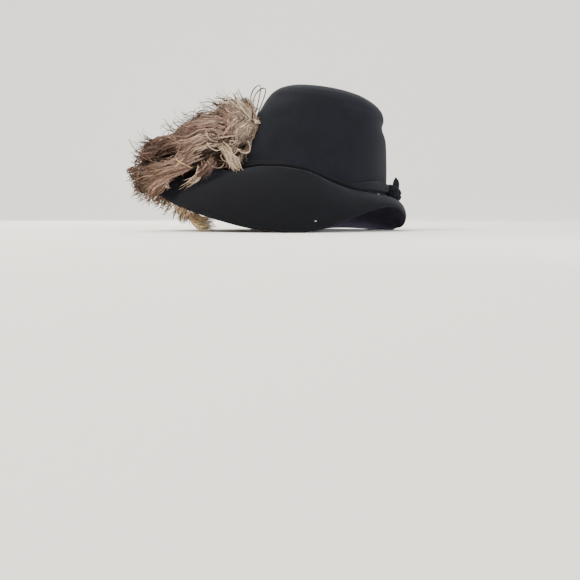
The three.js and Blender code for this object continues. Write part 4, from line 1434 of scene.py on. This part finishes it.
class FEDORA_OT_plume_ends(bpy.types.Operator):
    """Adds the fringe, the golden end, the strays and the quills"""

    bl_idname = "fedora.plume_ends"
    bl_label = "Plume ends"

    def execute(self, context):
        plume = context.scene.fedora_plume
        rng = np.random.default_rng(ENDS_SEED)
        fringe = fringe_barbs(rng, plume.fringe)
        tail = tail_barbs(rng, plume.tail)
        strays = stray_barbs(rng, plume.strays)
        add_barbs("plume_fringe_and_tail", [fringe, tail, strays], ENDS_SEED + 1, fluff=1)
        add_piece("plume_quills", quill_mesh(), dried_quill(), "plume")
        return {"FINISHED"}


class FEDORA_OT_stage(bpy.types.Operator):
    """Adds the floor, the lights and the camera"""

    bl_idname = "fedora.stage"
    bl_label = "Stage"

    def execute(self, context):
        stage = context.scene.fedora_stage
        floor = stage_floor()
        floor.data.materials.append(matt_plaster(stage.floor))
        for name, *light in LIGHTS:
            add_area(name, getattr(stage, name), *light)
        world = context.scene.world or bpy.data.worlds.new("studio")
        context.scene.world = world
        world.use_nodes = True
        sky = world.node_tree.nodes["Background"]
        sky.inputs["Color"].default_value = linear("#F2F1EE")
        sky.inputs["Strength"].default_value = stage.sky
        lens = bpy.data.cameras.new("camera")
        lens.lens = stage.lens
        lens.sensor_width = 36.0
        lens.clip_start = 0.005
        camera = bpy.data.objects.new("camera", lens)
        context.scene.collection.objects.link(camera)
        place = CROWN_CENTRE + np.array([-stage.camera_left, -stage.camera_front, stage.camera_height])
        camera.location = tuple(place * MM)
        camera.rotation_euler = (math.pi / 2.0 - stage.camera_pitch, 0.0, 0.0)
        context.scene.camera = camera
        return {"FINISHED"}


def stage_floor():
    """A round floor that turns up into a low backdrop far from the hat, all round it."""
    flat, corner, wall = 1.9, 1.9, 1.6
    bend = np.linspace(0.0, 0.5 * math.pi, 17)
    away = np.concatenate([[0.6, 1.4, flat], flat + corner * np.sin(bend[1:]), [flat + corner]])
    rise = np.concatenate([[0.0, 0.0, 0.0], corner - corner * np.cos(bend[1:]), [corner + wall]])
    around = 96
    turn = round_angles(around)[:, None]
    grid = np.stack(np.broadcast_arrays(away * np.sin(turn), -away * np.cos(turn), rise), axis=-1)
    rows = len(away)
    i = np.arange(around)
    middle = np.full(around, around * rows)
    faces = ring_faces(around, rows, False)[:, ::-1].tolist()
    faces += np.stack([middle, i * rows, (i + 1) % around * rows], axis=-1).tolist()
    mesh = bpy.data.meshes.new("floor")
    mesh.from_pydata(grid.reshape(-1, 3).tolist() + [[0.0, 0.0, 0.0]], [], faces)
    mesh.shade_smooth()
    made = bpy.data.objects.new("floor", mesh)
    bpy.context.scene.collection.objects.link(made)
    return made


HAT_MIDDLE = (0.0, 0.0, 0.08)

# Columns: name, place, width and height, colour, the point that it looks at, how wide it shines in degrees.
# Places and sizes are metres.
LIGHTS = (
    ("key", (-1.0, -0.8, 1.35), (0.8, 0.8), "#FFF6EA", HAT_MIDDLE, 180.0),
    ("fill", (1.3, -0.9, 0.7), (1.2, 1.2), "#EAF0FF", HAT_MIDDLE, 180.0),
    ("back", (-0.5, 1.2, 1.0), (1.2, 1.2), "#FFFDF6", HAT_MIDDLE, 180.0),
    ("low", (0.36, -0.98, 0.13), (0.3, 0.1), "#F4F2FF", (0.08, 0.0, 0.02), 40.0),
    ("wall", (0.0, 1.0, 2.4), (3.0, 1.5), "#FFFFFF", (0.0, 3.6, 0.5), 180.0),
)


def add_area(name, power, place, size, colour, aim, spread):
    """A soft light from a rectangle."""
    light = bpy.data.lights.new(name, "AREA")
    light.shape = "RECTANGLE"
    light.size, light.size_y = size
    light.spread = math.radians(spread)
    light.energy = power
    light.color = linear(colour)[:3]
    lamp = bpy.data.objects.new(name, light)
    lamp.location = place
    way = np.array(aim) - np.array(place)
    level = math.hypot(way[0], way[1])
    lamp.rotation_euler = (math.atan2(level, -way[2]), 0.0, math.atan2(-way[0], way[1]))
    bpy.context.scene.collection.objects.link(lamp)


OPERATORS = (
    FEDORA_OT_crown,
    FEDORA_OT_brim,
    FEDORA_OT_strap,
    FEDORA_OT_knot,
    FEDORA_OT_plume_body,
    FEDORA_OT_plume_locks,
    FEDORA_OT_plume_ends,
    FEDORA_OT_stage,
)


class FEDORA_PT_panel(bpy.types.Panel):
    """Lists the pieces and the stage"""

    bl_idname = "FEDORA_PT_panel"
    bl_label = "Fedora"
    bl_space_type = "VIEW_3D"
    bl_region_type = "UI"
    bl_category = "Fedora"

    def draw(self, context):
        for group in GROUPS:
            for name in GROUPS[group].__annotations__:
                self.layout.prop(getattr(context.scene, group), name)
        for operator in OPERATORS:
            self.layout.operator(operator.bl_idname)


GROUPS = {"fedora_felt": FedoraFelt, "fedora_plume": FedoraPlume, "fedora_stage": FedoraStage}
CLASSES = (*GROUPS.values(), *OPERATORS, FEDORA_PT_panel)


def register():
    for one in CLASSES:
        bpy.utils.register_class(one)
    for name, group in GROUPS.items():
        setattr(bpy.types.Scene, name, bpy.props.PointerProperty(type=group))


def unregister():
    for name in GROUPS:
        delattr(bpy.types.Scene, name)
    for one in reversed(CLASSES):
        bpy.utils.unregister_class(one)


def main():
    register()
    bpy.ops.fedora.crown()
    bpy.ops.fedora.brim()
    bpy.ops.fedora.strap()
    bpy.ops.fedora.knot()
    bpy.ops.fedora.plume_body()
    bpy.ops.fedora.plume_locks()
    bpy.ops.fedora.plume_ends()
    bpy.ops.fedora.stage()


if __name__ == "__main__":
    main()
